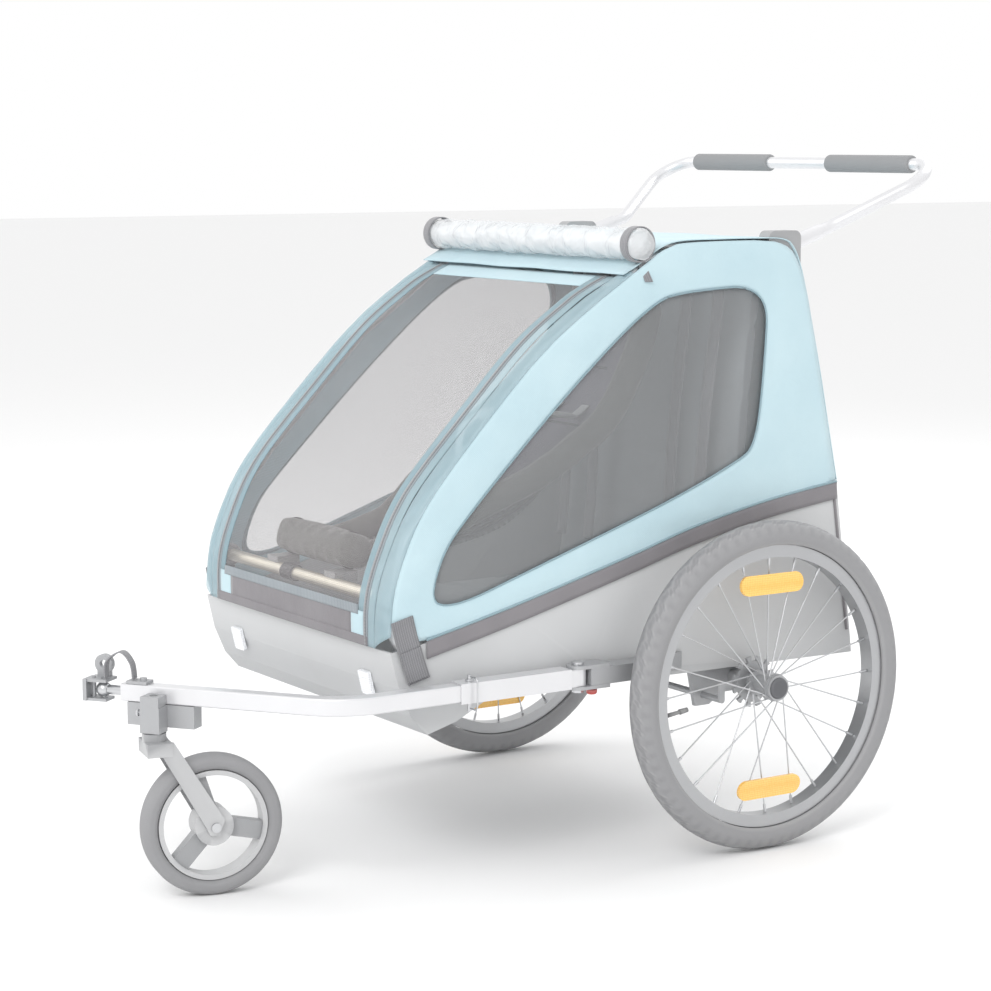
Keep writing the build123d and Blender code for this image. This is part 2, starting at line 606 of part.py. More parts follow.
def sling_hooks():
    """Hooks that hang the sling from the middle cross tube."""
    made = []
    for x in (-76, 76):
        plate = block(x - 3, x + 3, 0, 20, 818, ROOF_TUBE_Z + TUBE_R)
        ring = cross(x - 3, x + 3, 0, 820, 13) - cross(x - 4, x + 4, 0, 820, 6)
        seat = cross(x - 9, x + 9, HOOK_TUBE_Y, ROOF_TUBE_Z, CROSS_R + GAP)
        made.append((plate + ring) - seat - cross(x - 4, x + 4, 0, 820, 6))
    return solids(made)


def sling_rail(radius):
    return swept(FilletPolyline(*SLING_RAIL, radius=60), radius)


def sling_rails():
    """The sling's two padded edges."""
    return solids(both(sling_rail(SLING_RAIL_R)))


def sling_mesh():
    """The sling's net body: a bottom that hangs below the rails, and a side up to each rail."""
    plan = [(x, y) for x, y, z in SLING_RAIL]
    outline = make_face(Polyline(*plan, *[(-x, y) for x, y in plan[::-1]], close=True))
    sheet = profile_sheet(SLING_BACK, NET_T, 160) & extrude(outline, amount=900)
    band = extrude(outline - offset(outline, -NET_T), amount=900)
    rail_side = [(-160, y, z) for x, y, z in SLING_RAIL]
    back_side = [(-160, y, z) for y, z in SLING_BACK[::-1]]
    region = extrude(make_face(Polyline(*rail_side, *back_side, close=True)), amount=320, dir=(1, 0, 0))
    return (sheet + (region & band)) - both(sling_rail(SLING_RAIL_R + GAP))


def sling_pad():
    """Quilted pad on the sling's back."""
    line = Spline(*[(0, y, z) for y, z in SLING_BACK])
    points = []
    for i in range(6):
        rear = Vector(1, 0, 0).cross(line % (0.08 + 0.1 * i))
        centre = line @ (0.08 + 0.1 * i) - rear * (SLING_PAD_T + NET_T + 2 * GAP) * 0.5
        points.append((centre.Y, centre.Z))
    return profile_sheet(points, SLING_PAD_T, 44)


def sling_harness():
    """The sling's buckle with its crotch strap and shoulder straps."""
    buckle = block(-16, 16, -316, -300, 545, 580)
    crotch = rod((0, -306, 544.8), (0, -306, 454), 6)
    over = FilletPolyline((12, -308, 583.8), (40, -270, 640), (46, -180, 660), (44, -104, 648.5), radius=30)
    return solids(buckle, crotch, both(swept(over, 5)))


def front_mesh():
    """Insect-net front cover, bent over the front of the cage."""
    return profile_sheet(COVER_CURVE, 2.0, NET_HALF)


def front_cover_border():
    """Fabric border down both edges of the net."""
    strip = profile_sheet(COVER_CURVE, 3.0, BORDER_W / 2)
    return solids(both(Pos(NET_HALF + BORDER_W / 2 + GAP, 0, 0) * strip))


# ---------------------------------------------------------------- handlebar
def handlebar():
    x = side_x(ROOF_REAR_Y, ROOF_TUBE_Z, TUBE_INSET)
    slope = (SLEEVE_END[1] - SLEEVE_START[1]) / (SLEEVE_END[0] - SLEEVE_START[0])
    start_y = SLEEVE_START[0] + 4
    start = (x, start_y, SLEEVE_START[1] + slope * 4)
    knee = (x, HANDLE_KNEE_Y, SLEEVE_START[1] + slope * (HANDLE_KNEE_Y - SLEEVE_START[0]))
    corner = HANDLE_CORNER
    points = [start, knee, corner]
    points += [(-px, py, pz) for px, py, pz in reversed(points)]
    path = FilletPolyline(*points, radius=[40, 50, 50, 40])
    return swept(path, HANDLE_R)


def handlebar_grips():
    y, z = HANDLE_CORNER[1:]
    grip = cross(GRIP_IN, GRIP_OUT, y, z, GRIP_R)
    grip = fillet(grip.edges().filter_by(GeomType.CIRCLE), 4)
    return solids(both(grip - cross(0, 300, y, z, HANDLE_R + 0.1)))


# ---------------------------------------------------------------- tow arm, hitch and front wheel
def arm_pin():
    """Locking pin of the arm's sleeve with its wire bail."""
    y, half = ARM_SLEEVE_END_Y + 22, SLEEVE_SQ / 2
    pin = upright(TOW_X, y, TOW_Z - half - 14, TOW_Z + half + 9, PIN_R)
    pin += upright(TOW_X, y, TOW_Z + half + GAP, TOW_Z + half + 3, 6)
    reach = TOW_X + half + 7
    points = [(TOW_X, y, TOW_Z + half + 7), (reach, y, TOW_Z + half + 7), (reach, y, TOW_Z - half - 10),
              (TOW_X, y, TOW_Z - half - 10)]
    return pin + swept(FilletPolyline(*points, radius=8), 1.2)


def along_arm(back, out=0.0, z=TOW_Z):
    """A point a distance back from the arm's end and a distance out from its centre line."""
    point = Vector(*ARM_END, 0) - ARM_DIR * back + ARM_SIDE * out
    return (point.X, point.Y, z)


def arm_block(back0, back1, out0, out1, z0, z1):
    """A block lined up with the slanting front part of the arm."""
    middle = Vector(*along_arm((back0 + back1) / 2, (out0 + out1) / 2, (z0 + z1) / 2))
    plane = Plane(origin=middle, x_dir=ARM_DIR, z_dir=(0, 0, 1))
    return plane * Box(abs(back1 - back0), abs(out1 - out0), z1 - z0)


def tow_sleeve():
    """Square outer tube of the tow arm with the tongue that swings in the clevis."""
    rear = TOW_PIVOT_Y - 20
    tongue = block(TOW_X - 12, TOW_X + 12, rear, TOW_PIVOT_Y, TOW_Z - TONGUE_H / 2, TOW_Z + TONGUE_H / 2)
    tongue += upright(TOW_X, TOW_PIVOT_Y, TOW_Z - TONGUE_H / 2, TOW_Z + TONGUE_H / 2, 12)
    half = SLEEVE_SQ / 2
    tube = block(TOW_X - half, TOW_X + half, ARM_SLEEVE_END_Y, rear, TOW_Z - half, TOW_Z + half)
    inner = ARM_SQ / 2 + 0.1
    tube -= block(TOW_X - inner, TOW_X + inner, ARM_SLEEVE_END_Y - 1, rear - 20, TOW_Z - inner, TOW_Z + inner)
    body = tube + tongue - upright(TOW_X, TOW_PIVOT_Y, TOW_Z - 20, TOW_Z + 20, TOW_BOLT_R + RUN)
    return body - upright(TOW_X, ARM_SLEEVE_END_Y + 22, TOW_Z - 20, TOW_Z + 20, PIN_R + RUN)


def tow_arm():
    """Bent square tube from the sleeve to the hitch."""
    points = [(TOW_X, ARM_SLEEVE_END_Y + 60, TOW_Z), (TOW_X, ARM_CORNER_Y, TOW_Z), (*ARM_END, TOW_Z)]
    path = FilletPolyline(*points, radius=ARM_BEND_R)
    start = Plane(origin=path @ 0, z_dir=path % 0, x_dir=(1, 0, 0))
    section = start * RectangleRounded(ARM_SQ, ARM_SQ, 3)
    bore = start * RectangleRounded(ARM_SQ - 2 * ARM_WALL, ARM_SQ - 2 * ARM_WALL, 1.5)
    arm = sweep(section, path=path) - sweep(bore, path=path)
    return arm - upright(TOW_X, ARM_SLEEVE_END_Y + 22, TOW_Z - 20, TOW_Z + 20, PIN_R + RUN)


def hitch_ball():
    """Ball stem plugged into the arm's end."""
    stem = rod(along_arm(22), along_arm(-BALL_AHEAD), 7)
    half = ARM_SQ / 2 - ARM_WALL - 0.5
    plug = arm_block(0, 24, -half, half, TOW_Z - half, TOW_Z + half)
    ball = Pos(*along_arm(-BALL_AHEAD)) * Sphere(BALL_R)
    return stem + plug + ball


def hitch_cup():
    """Forked hitch round the ball, with the eye that goes on the bicycle's rear axle."""
    middle = -BALL_AHEAD
    gap = BALL_R + 0.6
    plates = arm_block(middle - 24, middle + 10, -21, 13, TOW_Z + gap, TOW_Z + gap + 4)
    plates += arm_block(middle - 24, middle + 10, -13, 13, TOW_Z - gap - 4, TOW_Z - gap)
    back = arm_block(middle - 26, middle - 20, -15, 15, TOW_Z - gap - 4, TOW_Z + gap + 4)
    pin = rod(along_arm(middle - 15.5, 0, TOW_Z - gap - 6), along_arm(middle - 15.5, 0, TOW_Z + gap + 6), 2.8)
    centre = Vector(*along_arm(middle - 7, -17, TOW_Z + 33))
    plane = Plane(origin=centre - ARM_SIDE * 4, z_dir=ARM_SIDE)
    eye = extrude(plane * Circle(14), amount=8)
    neck = arm_block(middle - 17, middle + 3, -21, -13, TOW_Z + gap + 2, TOW_Z + 28)
    eye = eye + neck - extrude(plane * Circle(SKEWER_R), amount=8)
    rivet = rod(along_arm(middle, 0, TOW_Z - gap - 5), along_arm(middle, 0, TOW_Z + gap + 5), HITCH_RIVET_R)
    return plates + back + pin + eye - rivet


def safety_strap():
    """Webbing strap over the hitch."""
    points = [along_arm(15, 0, 307.4), along_arm(9, 0, 332), along_arm(-10, 0, 346), along_arm(-27, 0, 332),
              along_arm(-27, 0, 306.2)]
    path = FilletPolyline(*points, radius=10)
    start = Plane(origin=path @ 0, z_dir=path % 0, x_dir=ARM_SIDE)
    return sweep(start * Rectangle(14, 2), path=path)


def strap_plate():
    """Plate and bolts that hold the strap on the arm."""
    low = TOW_Z + ARM_SQ / 2 + GAP
    plate = arm_block(8, 40, -11, 11, low, low + 4)
    return plate + rod(along_arm(30, 0, low), along_arm(30, 0, low + 8), 5)


def caster_receiver():
    """Channel under the arm with the upright socket that holds the front wheel's stem."""
    top = TOW_Z - ARM_SQ / 2 - GAP
    channel = arm_block(10, 114, -12, 12, CROWN_TOP_Z + 6, top)
    side = 1 if CASTER_OUT > 0 else -1
    reach = abs(CASTER_OUT)
    arm = arm_block(CASTER_BACK - 15, CASTER_BACK + 15, side * 12, side * (reach + 14), CROWN_TOP_Z + 1, top)
    post = arm_block(CASTER_BACK - 14, CASTER_BACK + 14, side * (ARM_SQ / 2 + 1), side * (reach + 14),
                         top - 1, TOW_Z + 2)
    body = channel + arm + post
    body -= upright(*CASTER_XY, CROWN_TOP_Z - 5, TOW_Z + 10, CASTER_STEM_R + RUN)
    hole = Plane(origin=along_arm(CASTER_BACK - 40, CASTER_OUT, TOW_Z - 24), z_dir=(-ARM_DIR.X, -ARM_DIR.Y, 0))
    body -= extrude(hole * Circle(2.5 + RUN), amount=40 - CASTER_STEM_R + 1)
    return solids(body, strap_plate())


def lock_pin():
    """Pull pin that keeps the front wheel's stem in its socket."""
    start = along_arm(CASTER_BACK - 26, CASTER_OUT, TOW_Z - 24)
    end = along_arm(CASTER_BACK - CASTER_STEM_R - 1, CASTER_OUT, TOW_Z - 24)
    head = along_arm(CASTER_BACK - 23, CASTER_OUT, TOW_Z - 24)
    return rod(start, end, 2.5) + rod(start, head, 5)


def on_caster(shape):
    """Pieces of the front wheel, built with the stem on Z and the wheel trailing along +Y."""
    return Pos(*CASTER_XY, 0) * Rot(0, 0, CASTER_TURN) * shape


def caster_fork():
    """Stem, crown and two blades running back to the axle."""
    stem = upright(0, 0, CROWN_TOP_Z - 2, TOW_Z - 2, CASTER_STEM_R)
    crown = upright(0, 0, CROWN_TOP_Z - 12, CROWN_TOP_Z, 17)
    yoke = block(-28, 28, -16, 20, CASTER_R * 2 + 6, CROWN_TOP_Z - 11)
    outline = Polyline((-27, 2, 216), (-27, -12, CROWN_TOP_Z - 11), (-27, 22, CROWN_TOP_Z - 11),
                       (-27, CASTER_TRAIL + 13, 112), (-27, CASTER_TRAIL + 6, 90),
                       (-27, CASTER_TRAIL - 8, 90), (-27, CASTER_TRAIL - 15, 104), close=True)
    blade = extrude(make_face(outline), amount=6, dir=(1, 0, 0))
    blade -= cross(-30, -20, CASTER_TRAIL, CASTER_R, 4 + GAP)
    fork = stem + crown + yoke + blade + mirror(blade, about=Plane.YZ)
    return on_caster(fork)


def caster_axle():
    """Axle bolt with its cap nuts."""
    bolt = cross(-27, 27, CASTER_TRAIL, CASTER_R, 4)
    caps = cross(-31, -27 - GAP, CASTER_TRAIL, CASTER_R, 7) + cross(27 + GAP, 31, CASTER_TRAIL, CASTER_R, 7)
    return on_caster(bolt + caps + cross(-28, 28, CASTER_TRAIL, CASTER_R, 4))


def caster_tyre():
    half = CASTER_W / 2
    section = Pos(0, CASTER_R - 11) * RectangleRounded(CASTER_W, 22, 10)
    ring = revolve(section, Axis.X)
    return on_caster(Pos(0, CASTER_TRAIL, CASTER_R) * ring)


def caster_rim():
    """Three-spoke front wheel body."""
    inner = CASTER_R - 22 - GAP
    ring = cross(-14, 14, 0, 0, inner) - cross(-15, 15, 0, 0, inner - 7)
    body = ring + cross(-19, 19, 0, 0, 28)
    for i in range(3):
        spoke = block(-9, 9, 20, inner - 3, -13, 13)
        body += Rot(120 * i - 12, 0, 0) * spoke
    body -= cross(-30, 30, 0, 0, 4 + RUN)
    return on_caster(Pos(0, CASTER_TRAIL, CASTER_R) * body)


# ---------------------------------------------------------------- write the parts
def write(name, shape):
    export_step(Pos(0, AXLE_Y, 0) * shape, f"parts/{name}.step")


def main():
    os.makedirs("parts", exist_ok=True)
    wheel = {"tyre": tyre(), "rim": rim(), "spokes": spokes(), "hub": hub(),
             "wheel_reflectors": wheel_reflectors(), "hub_button": hub_button()}
    for name, shape in wheel.items():
        write(f"left_{name}", shape)
        write(f"right_{name}", mirror(shape, about=Plane.YZ))
    left_latch = latch()
    write("left_latch", left_latch)
    write("right_latch", mirror(left_latch, about=Plane.YZ))
    for make in (base_frame, posts, hinge_caps, crossbar, crossbar_collar, tub, axle, brake_lever, tow_bracket,
                 tow_bolt, tow_button, tie_straps, front_reflectors, seat_cushion, sling_bolster, sling_clips,
                 cage_tubes, corner_caps, rear_legs, covers, side_windows, backrest, seat_harness,
                 rain_cover_roll, roll_straps, sling_hooks, sling_rails, sling_mesh, sling_pad, sling_harness,
                 front_mesh, front_cover_border, handlebar, handlebar_grips, tow_sleeve, tow_arm, hitch_ball,
                 hitch_cup, safety_strap, arm_pin, caster_receiver, lock_pin, caster_fork, caster_axle,
                 caster_tyre, caster_rim):
        write(make.__name__, make())


main()
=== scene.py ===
import logging
import math
import random
from dataclasses import dataclass, field
from enum import Enum
from typing import Callable

import bmesh
import bpy
from mathutils import Matrix, Vector


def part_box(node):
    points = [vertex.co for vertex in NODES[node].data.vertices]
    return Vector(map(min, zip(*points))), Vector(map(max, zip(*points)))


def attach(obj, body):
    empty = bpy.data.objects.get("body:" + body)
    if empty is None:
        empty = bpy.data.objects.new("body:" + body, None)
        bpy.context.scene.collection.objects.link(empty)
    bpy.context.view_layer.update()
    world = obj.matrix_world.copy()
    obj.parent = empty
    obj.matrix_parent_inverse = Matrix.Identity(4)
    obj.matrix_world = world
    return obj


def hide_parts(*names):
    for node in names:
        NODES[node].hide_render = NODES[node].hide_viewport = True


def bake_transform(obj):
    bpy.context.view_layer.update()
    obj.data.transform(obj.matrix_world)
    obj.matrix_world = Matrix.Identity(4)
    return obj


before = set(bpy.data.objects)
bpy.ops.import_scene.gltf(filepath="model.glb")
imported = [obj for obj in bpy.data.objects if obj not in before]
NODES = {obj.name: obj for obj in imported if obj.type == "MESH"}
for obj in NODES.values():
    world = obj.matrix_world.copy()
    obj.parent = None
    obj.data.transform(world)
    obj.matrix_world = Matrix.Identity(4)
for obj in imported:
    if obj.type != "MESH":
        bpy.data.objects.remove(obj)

LOG = logging.getLogger("trailer")
MM = 0.001
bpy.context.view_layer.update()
AXLE_Y = sum(corner.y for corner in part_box("left_hub")) / 2
Outline = list[tuple[float, float]]
PRESSURE = 4.0  # of the cloth simulation in a pad
PUFF_FRAMES = 12
FOLDS = "between base and cage"


class Side(Enum):
    """The two sides of the trailer."""

    LEFT = 1
    RIGHT = -1

    @property
    def word(self) -> str:
        """The side as piece and node names write it."""
        return self.name.lower()


class Weave(Enum):
    """How a cloth's surface is made."""

    PLAIN = "plain"
    RIBBED = "ribbed"
    HEATHER = "heather"


# ------------------------------------------------------------------ places
def side_x(y: float, z: float, inset: float = 0.0) -> float:
    """X of the body's flat side, in millimetres, at a place measured from the axle."""
    return 311.3 + 0.028 * y - 0.031 * z - inset


def place(x: float, y: float, z: float) -> Vector:
    """A point given in millimetres, with Y measured from the axle, in the frame's metres."""
    return Vector((x * MM, y * MM + AXLE_Y, z * MM))


def sample(points: list[Vector], t: float) -> Vector:
    """A point on a Catmull-Rom curve through the points.

    Args:
        points: the curve's points, evenly weighted.
        t: how far along, from 0 to 1.

    Returns:
        The point on the curve.
    """
    last = len(points) - 1
    at = min(max(t, 0.0), 1.0) * last
    i = min(int(at), last - 1)
    f = at - i
    a, b = points[max(i - 1, 0)], points[i]
    c, d = points[i + 1], points[min(i + 2, last)]
    cube = 3 * b - a - 3 * c + d
    return 0.5 * (2 * b + (c - a) * f + (2 * a - 5 * b + 4 * c - d) * f * f + cube * f ** 3)


def even(points: list[Vector], count: int, closed: bool = False, rounds: int = 0) -> list[Vector]:
    """Points evenly spaced along a line, its corners cut round first.

    Args:
        points: the line's corners.
        count: how many points to return.
        closed: whether the line joins its ends.
        rounds: how many times each corner is cut.

    Returns:
        The evenly spaced points.
    """
    line = list(points)
    for _ in range(rounds):
        pairs = zip(line, line[1:] + line[:1]) if closed else zip(line, line[1:])
        cut = [p for a, b in pairs for p in (a.lerp(b, 0.25), a.lerp(b, 0.75))]
        line = cut if closed else [line[0]] + cut[1:-1] + [line[-1]]
    if closed:
        line.append(line[0])
    lengths = [0.0]
    for a, b in zip(line, line[1:]):
        lengths.append(lengths[-1] + (b - a).length)
    found, i = [], 0
    steps = count if closed else count - 1
    for k in range(count):
        want = lengths[-1] * k / steps
        while i < len(line) - 2 and lengths[i + 1] < want:
            i += 1
        run = max(lengths[i + 1] - lengths[i], 1e-9)
        found.append(line[i].lerp(line[i + 1], min(max((want - lengths[i]) / run, 0.0), 1.0)))
    return found


# ------------------------------------------------------------------ finishes
def tint(code: str) -> tuple[float, float, float, float]:
    """An sRGB hex colour as linear RGBA."""
    parts = [int(code[i:i + 2], 16) / 255 for i in (1, 3, 5)]
    return tuple(c / 12.92 if c <= 0.04045 else ((c + 0.055) / 1.055) ** 2.4 for c in parts) + (1.0,)


def add(tree: bpy.types.NodeTree, kind: str, links: dict | None = None, **settings) -> bpy.types.Node:
    """Adds a shader node with its settings and links.

    Args:
        tree: the material's node tree.
        kind: the node's type name after ShaderNode.
        links: input name or number to the socket or value that feeds it.
        settings: attributes of the node.

    Returns:
        The new node.
    """
    node = tree.nodes.new("ShaderNode" + kind)
    for name, value in settings.items():
        setattr(node, name, value)
    for name, source in (links or {}).items():
        if isinstance(source, bpy.types.NodeSocket):
            tree.links.new(source, node.inputs[name])
        else:
            node.inputs[name].default_value = source
    return node


def mixed(tree: bpy.types.NodeTree, factor, first, second) -> bpy.types.NodeSocket:
    """A colour mixed between two by a factor socket."""
    node = add(tree, "Mix", {0: factor, 6: first, 7: second}, data_type="RGBA")
    return node.outputs[2]


def maths(tree: bpy.types.NodeTree, operation: str, first, second=0.5) -> bpy.types.NodeSocket:
    """The result of one sum on sockets or numbers."""
    return add(tree, "Math", {0: first, 1: second}, operation=operation).outputs[0]


def begin(name: str) -> tuple[bpy.types.Material, bpy.types.NodeTree, bpy.types.Node]:
    """A new material with its shader."""
    material = bpy.data.materials.new(name)
    material.use_nodes = True
    return material, material.node_tree, material.node_tree.nodes["Principled BSDF"]


def bump(tree: bpy.types.NodeTree, shader: bpy.types.Node, height, depth: float,
         strength: float = 1.0) -> None:
    """Links a height to the shader's normal, its depth in metres."""
    node = add(tree, "Bump", {"Height": height, "Distance": depth, "Strength": strength})
    tree.links.new(node.outputs[0], shader.inputs["Normal"])


@dataclass(frozen=True)
class Cloth:
    """Woven cloth, whose threads run with the piece's own UV map, in metres."""

    name: str
    hue: str
    shade: str
    weave: Weave = Weave.PLAIN
    thread: float = 1.6  # drawn coarser than real yarn, so that the weave shows
    sheen: float = 0.25
    alpha: float = 1.0

    def make(self) -> bpy.types.Material:
        """Builds the cloth: over-under threads in colour and height, with slow fading and slubs."""
        material, tree, shader = begin(self.name)
        cloth = add(tree, "TexCoord").outputs["UV"]
        apart = add(tree, "SeparateXYZ", {0: cloth})
        waves = []
        for axis in (0, 1):
            turns = maths(tree, "MULTIPLY", apart.outputs[axis], math.tau / (self.thread * MM * 2))
            waves.append(maths(tree, "SINE", turns))
        ribbed = self.weave is Weave.RIBBED
        height = maths(tree, "MULTIPLY", waves[0], maths(tree, "ADD", waves[1], 2.0) if ribbed else waves[1])
        fade = add(tree, "TexNoise",
                   {"Vector": add(tree, "TexCoord").outputs["Object"], "Scale": 9.0, "Detail": 4.0})
        grain = 260.0 if self.weave is Weave.HEATHER else 900.0
        slub = add(tree, "TexNoise", {"Vector": cloth, "Scale": grain, "Detail": 2.0, "Roughness": 0.7})
        spread = 0.75 if self.weave is Weave.HEATHER else 0.22
        lit = maths(tree, "MULTIPLY", maths(tree, "SUBTRACT", slub.outputs[0], 0.5), spread * 2.2)
        blend = maths(tree, "ADD", maths(tree, "ADD", maths(tree, "MULTIPLY", height, 0.12), lit),
                      fade.outputs[0])
        clean = add(tree, "Clamp", {0: blend}).outputs[0]
        colour = mixed(tree, clean, tint(self.shade), tint(self.hue))
        tree.links.new(colour, shader.inputs["Base Color"])
        shader.inputs["Roughness"].default_value = 0.86
        shader.inputs["Sheen Weight"].default_value = self.sheen
        shader.inputs["Sheen Roughness"].default_value = 0.45
        shader.inputs["Alpha"].default_value = self.alpha
        wrinkle = add(tree, "TexNoise",
                      {"Vector": add(tree, "TexCoord").outputs["Object"], "Scale": 26.0, "Detail": 3.0})
        relief = maths(tree, "ADD", maths(tree, "MULTIPLY", height, 0.12),
                       maths(tree, "MULTIPLY", wrinkle.outputs[0], 3.0))
        bump(tree, shader, relief, 0.0007)
        return material


@dataclass(frozen=True)
class Net:
    """Knitted net with round holes set in staggered rows, on the piece's UV map in metres."""

    name: str
    hue: str
    pitch: float
    hole: float
    cover: float = 1.0

    def make(self) -> bpy.types.Material:
        """Builds the net: thread between holes is solid, and the holes are open."""
        material, tree, shader = begin(self.name)
        cloth = add(tree, "TexCoord").outputs["UV"]
        pattern = add(tree, "TexVoronoi",
                      {"Vector": cloth, "Scale": 1 / (self.pitch * MM), "Randomness": 0.0},
                      distance="EUCLIDEAN")
        solid = maths(tree, "GREATER_THAN", pattern.outputs["Distance"], self.hole / self.pitch / 2)
        shader.inputs["Base Color"].default_value = tint(self.hue)
        shader.inputs["Roughness"].default_value = 0.7
        shader.inputs["Sheen Weight"].default_value = 0.2
        tree.links.new(maths(tree, "MULTIPLY", solid, self.cover), shader.inputs["Alpha"])
        bump(tree, shader, pattern.outputs["Distance"], 0.0005)
        return material


@dataclass(frozen=True)
class Veil:
    """Insect net so fine that it reads as a grey haze with a faint weave."""

    name: str
    hue: str
    cover: float
    thread: float = 2.6

    def make(self) -> bpy.types.Material:
        """Builds the haze, denser on the drawn threads."""
        material, tree, shader = begin(self.name)
        apart = add(tree, "SeparateXYZ", {0: add(tree, "TexCoord").outputs["UV"]})
        lines = []
        for axis in (0, 1):
            wave = maths(tree, "SINE",
                         maths(tree, "MULTIPLY", apart.outputs[axis], math.tau / (self.thread * MM)))
            lines.append(maths(tree, "MULTIPLY", wave, 0.05))
        soft = add(tree, "TexNoise", {"Vector": add(tree, "TexCoord").outputs["Object"], "Scale": 5.0})
        base = maths(tree, "ADD", maths(tree, "MULTIPLY", soft.outputs[0], 0.14), self.cover - 0.07)
        tree.links.new(maths(tree, "ADD", maths(tree, "ADD", lines[0], lines[1]), base),
                       shader.inputs["Alpha"])
        shader.inputs["Base Color"].default_value = tint(self.hue)
        shader.inputs["Roughness"].default_value = 0.75
        return material


@dataclass(frozen=True)
class Film:
    """Flexible clear film: a thin plastic sheet with its own gloss and slow ripples."""

    name: str
    hue: str
    alpha: float
    rough: float = 0.12
    ripple: float = 10.0
    depth: float = 0.004

    def make(self) -> bpy.types.Material:
        """Builds the film: see-through, glossy and rippled."""
        material, tree, shader = begin(self.name)
        space = add(tree, "TexCoord").outputs["Object"]
        ripple = add(tree, "TexNoise",
                     {"Vector": space, "Scale": self.ripple, "Detail": 3.0, "Distortion": 0.6})
        shader.inputs["Base Color"].default_value = tint(self.hue)
        shader.inputs["Roughness"].default_value = self.rough
        shader.inputs["IOR"].default_value = 1.5
        shader.inputs["Alpha"].default_value = self.alpha
        shader.inputs["Coat Weight"].default_value = 0.3
        bump(tree, shader, ripple.outputs[0], self.depth)
        return material


@dataclass(frozen=True)
class Moulding:
    """Injection-moulded plastic or rubber with a fine spark-eroded grain."""

    name: str
    hue: str
    rough: float = 0.5
    grain: float = 0.8  # millimetres between grains
    depth: float = 0.12

    def make(self) -> bpy.types.Material:
        """Builds the moulding: an even colour, a grain, and a painted highlight that makes convex edges
        paler.
        """
        material, tree, shader = begin(self.name)
        space = add(tree, "TexCoord").outputs["Object"]
        grain = add(tree, "TexNoise", {"Vector": space, "Scale": 1 / (self.grain * MM), "Detail": 2.0})
        cloud = add(tree, "TexNoise", {"Vector": space, "Scale": 14.0, "Detail": 4.0})
        # painted highlight: convex edges, found by pointiness, are mixed towards near-white
        highlight_pointiness = add(tree, "NewGeometry").outputs["Pointiness"]
        edge = add(tree, "MapRange", {0: highlight_pointiness, 1: 0.5, 2: 0.62, 3: 0.0, 4: 0.35}).outputs[0]
        base = mixed(tree, cloud.outputs[0], tuple(c * 0.86 for c in tint(self.hue)[:3]) + (1.0,),
                     tint(self.hue))
        tree.links.new(mixed(tree, edge, base, tint("#F0F0F0")), shader.inputs["Base Color"])
        rough = add(tree, "MapRange",
                    {0: cloud.outputs[0], 3: self.rough - 0.08, 4: self.rough + 0.1}).outputs[0]
        tree.links.new(rough, shader.inputs["Roughness"])
        bump(tree, shader, grain.outputs[0], self.depth * MM)
        return material


@dataclass(frozen=True)
class Metal:
    """Metal tube or casting, drawn, anodised, plated or painted."""

    name: str
    hue: str
    rough: float = 0.32
    metallic: float = 1.0
    streak: tuple[float, float, float] = (1.0, 1.0, 1.0)

    def make(self) -> bpy.types.Material:
        """Builds the metal: soft drawn streaks in roughness and a faint handling haze."""
        material, tree, shader = begin(self.name)
        space = add(tree, "TexCoord").outputs["Object"]
        turned = add(tree, "Mapping", {0: space, "Scale": self.streak})
        line = add(tree, "TexNoise", {"Vector": turned.outputs[0], "Scale": 240.0, "Detail": 3.0})
        haze = add(tree, "TexNoise", {"Vector": space, "Scale": 12.0, "Detail": 4.0})
        shader.inputs["Metallic"].default_value = self.metallic
        colour = mixed(tree, haze.outputs[0], tuple(c * 0.88 for c in tint(self.hue)[:3]) + (1.0,),
                       tint(self.hue))
        tree.links.new(colour, shader.inputs["Base Color"])
        both = maths(tree, "ADD", maths(tree, "MULTIPLY", line.outputs[0], 0.12),
                     maths(tree, "MULTIPLY", haze.outputs[0], 0.1))
        tree.links.new(maths(tree, "ADD", both, self.rough - 0.1), shader.inputs["Roughness"])
        bump(tree, shader, line.outputs[0], 0.00004)
        return material


@dataclass(frozen=True)
class Reflector:
    """Moulded prismatic reflector: rows of tiny cube corners under a gloss face."""

    name: str
    hue: str
    dark: str
    prism: float = 3.2

    def make(self) -> bpy.types.Material:
        """Builds the prisms as a cell pattern in colour and height under a coat, with a faint painted glow.
        """
        material, tree, shader = begin(self.name)
        space = add(tree, "TexCoord").outputs["Object"]
        cell = add(tree, "TexVoronoi", {"Vector": space, "Scale": 1 / (self.prism * MM), "Randomness": 0.15})
        tree.links.new(mixed(tree, cell.outputs["Distance"], tint(self.hue), tint(self.dark)),
                       shader.inputs["Base Color"])
        shader.inputs["Roughness"].default_value = 0.2
        shader.inputs["Coat Weight"].default_value = 0.8
        # painted glow: the reflector emits its own colour faintly, though it is no lamp
        shader.inputs["Emission Color"].default_value = tint(self.hue)
        shader.inputs["Emission Strength"].default_value = 0.12
        bump(tree, shader, cell.outputs["Distance"], 0.0012)
        return material


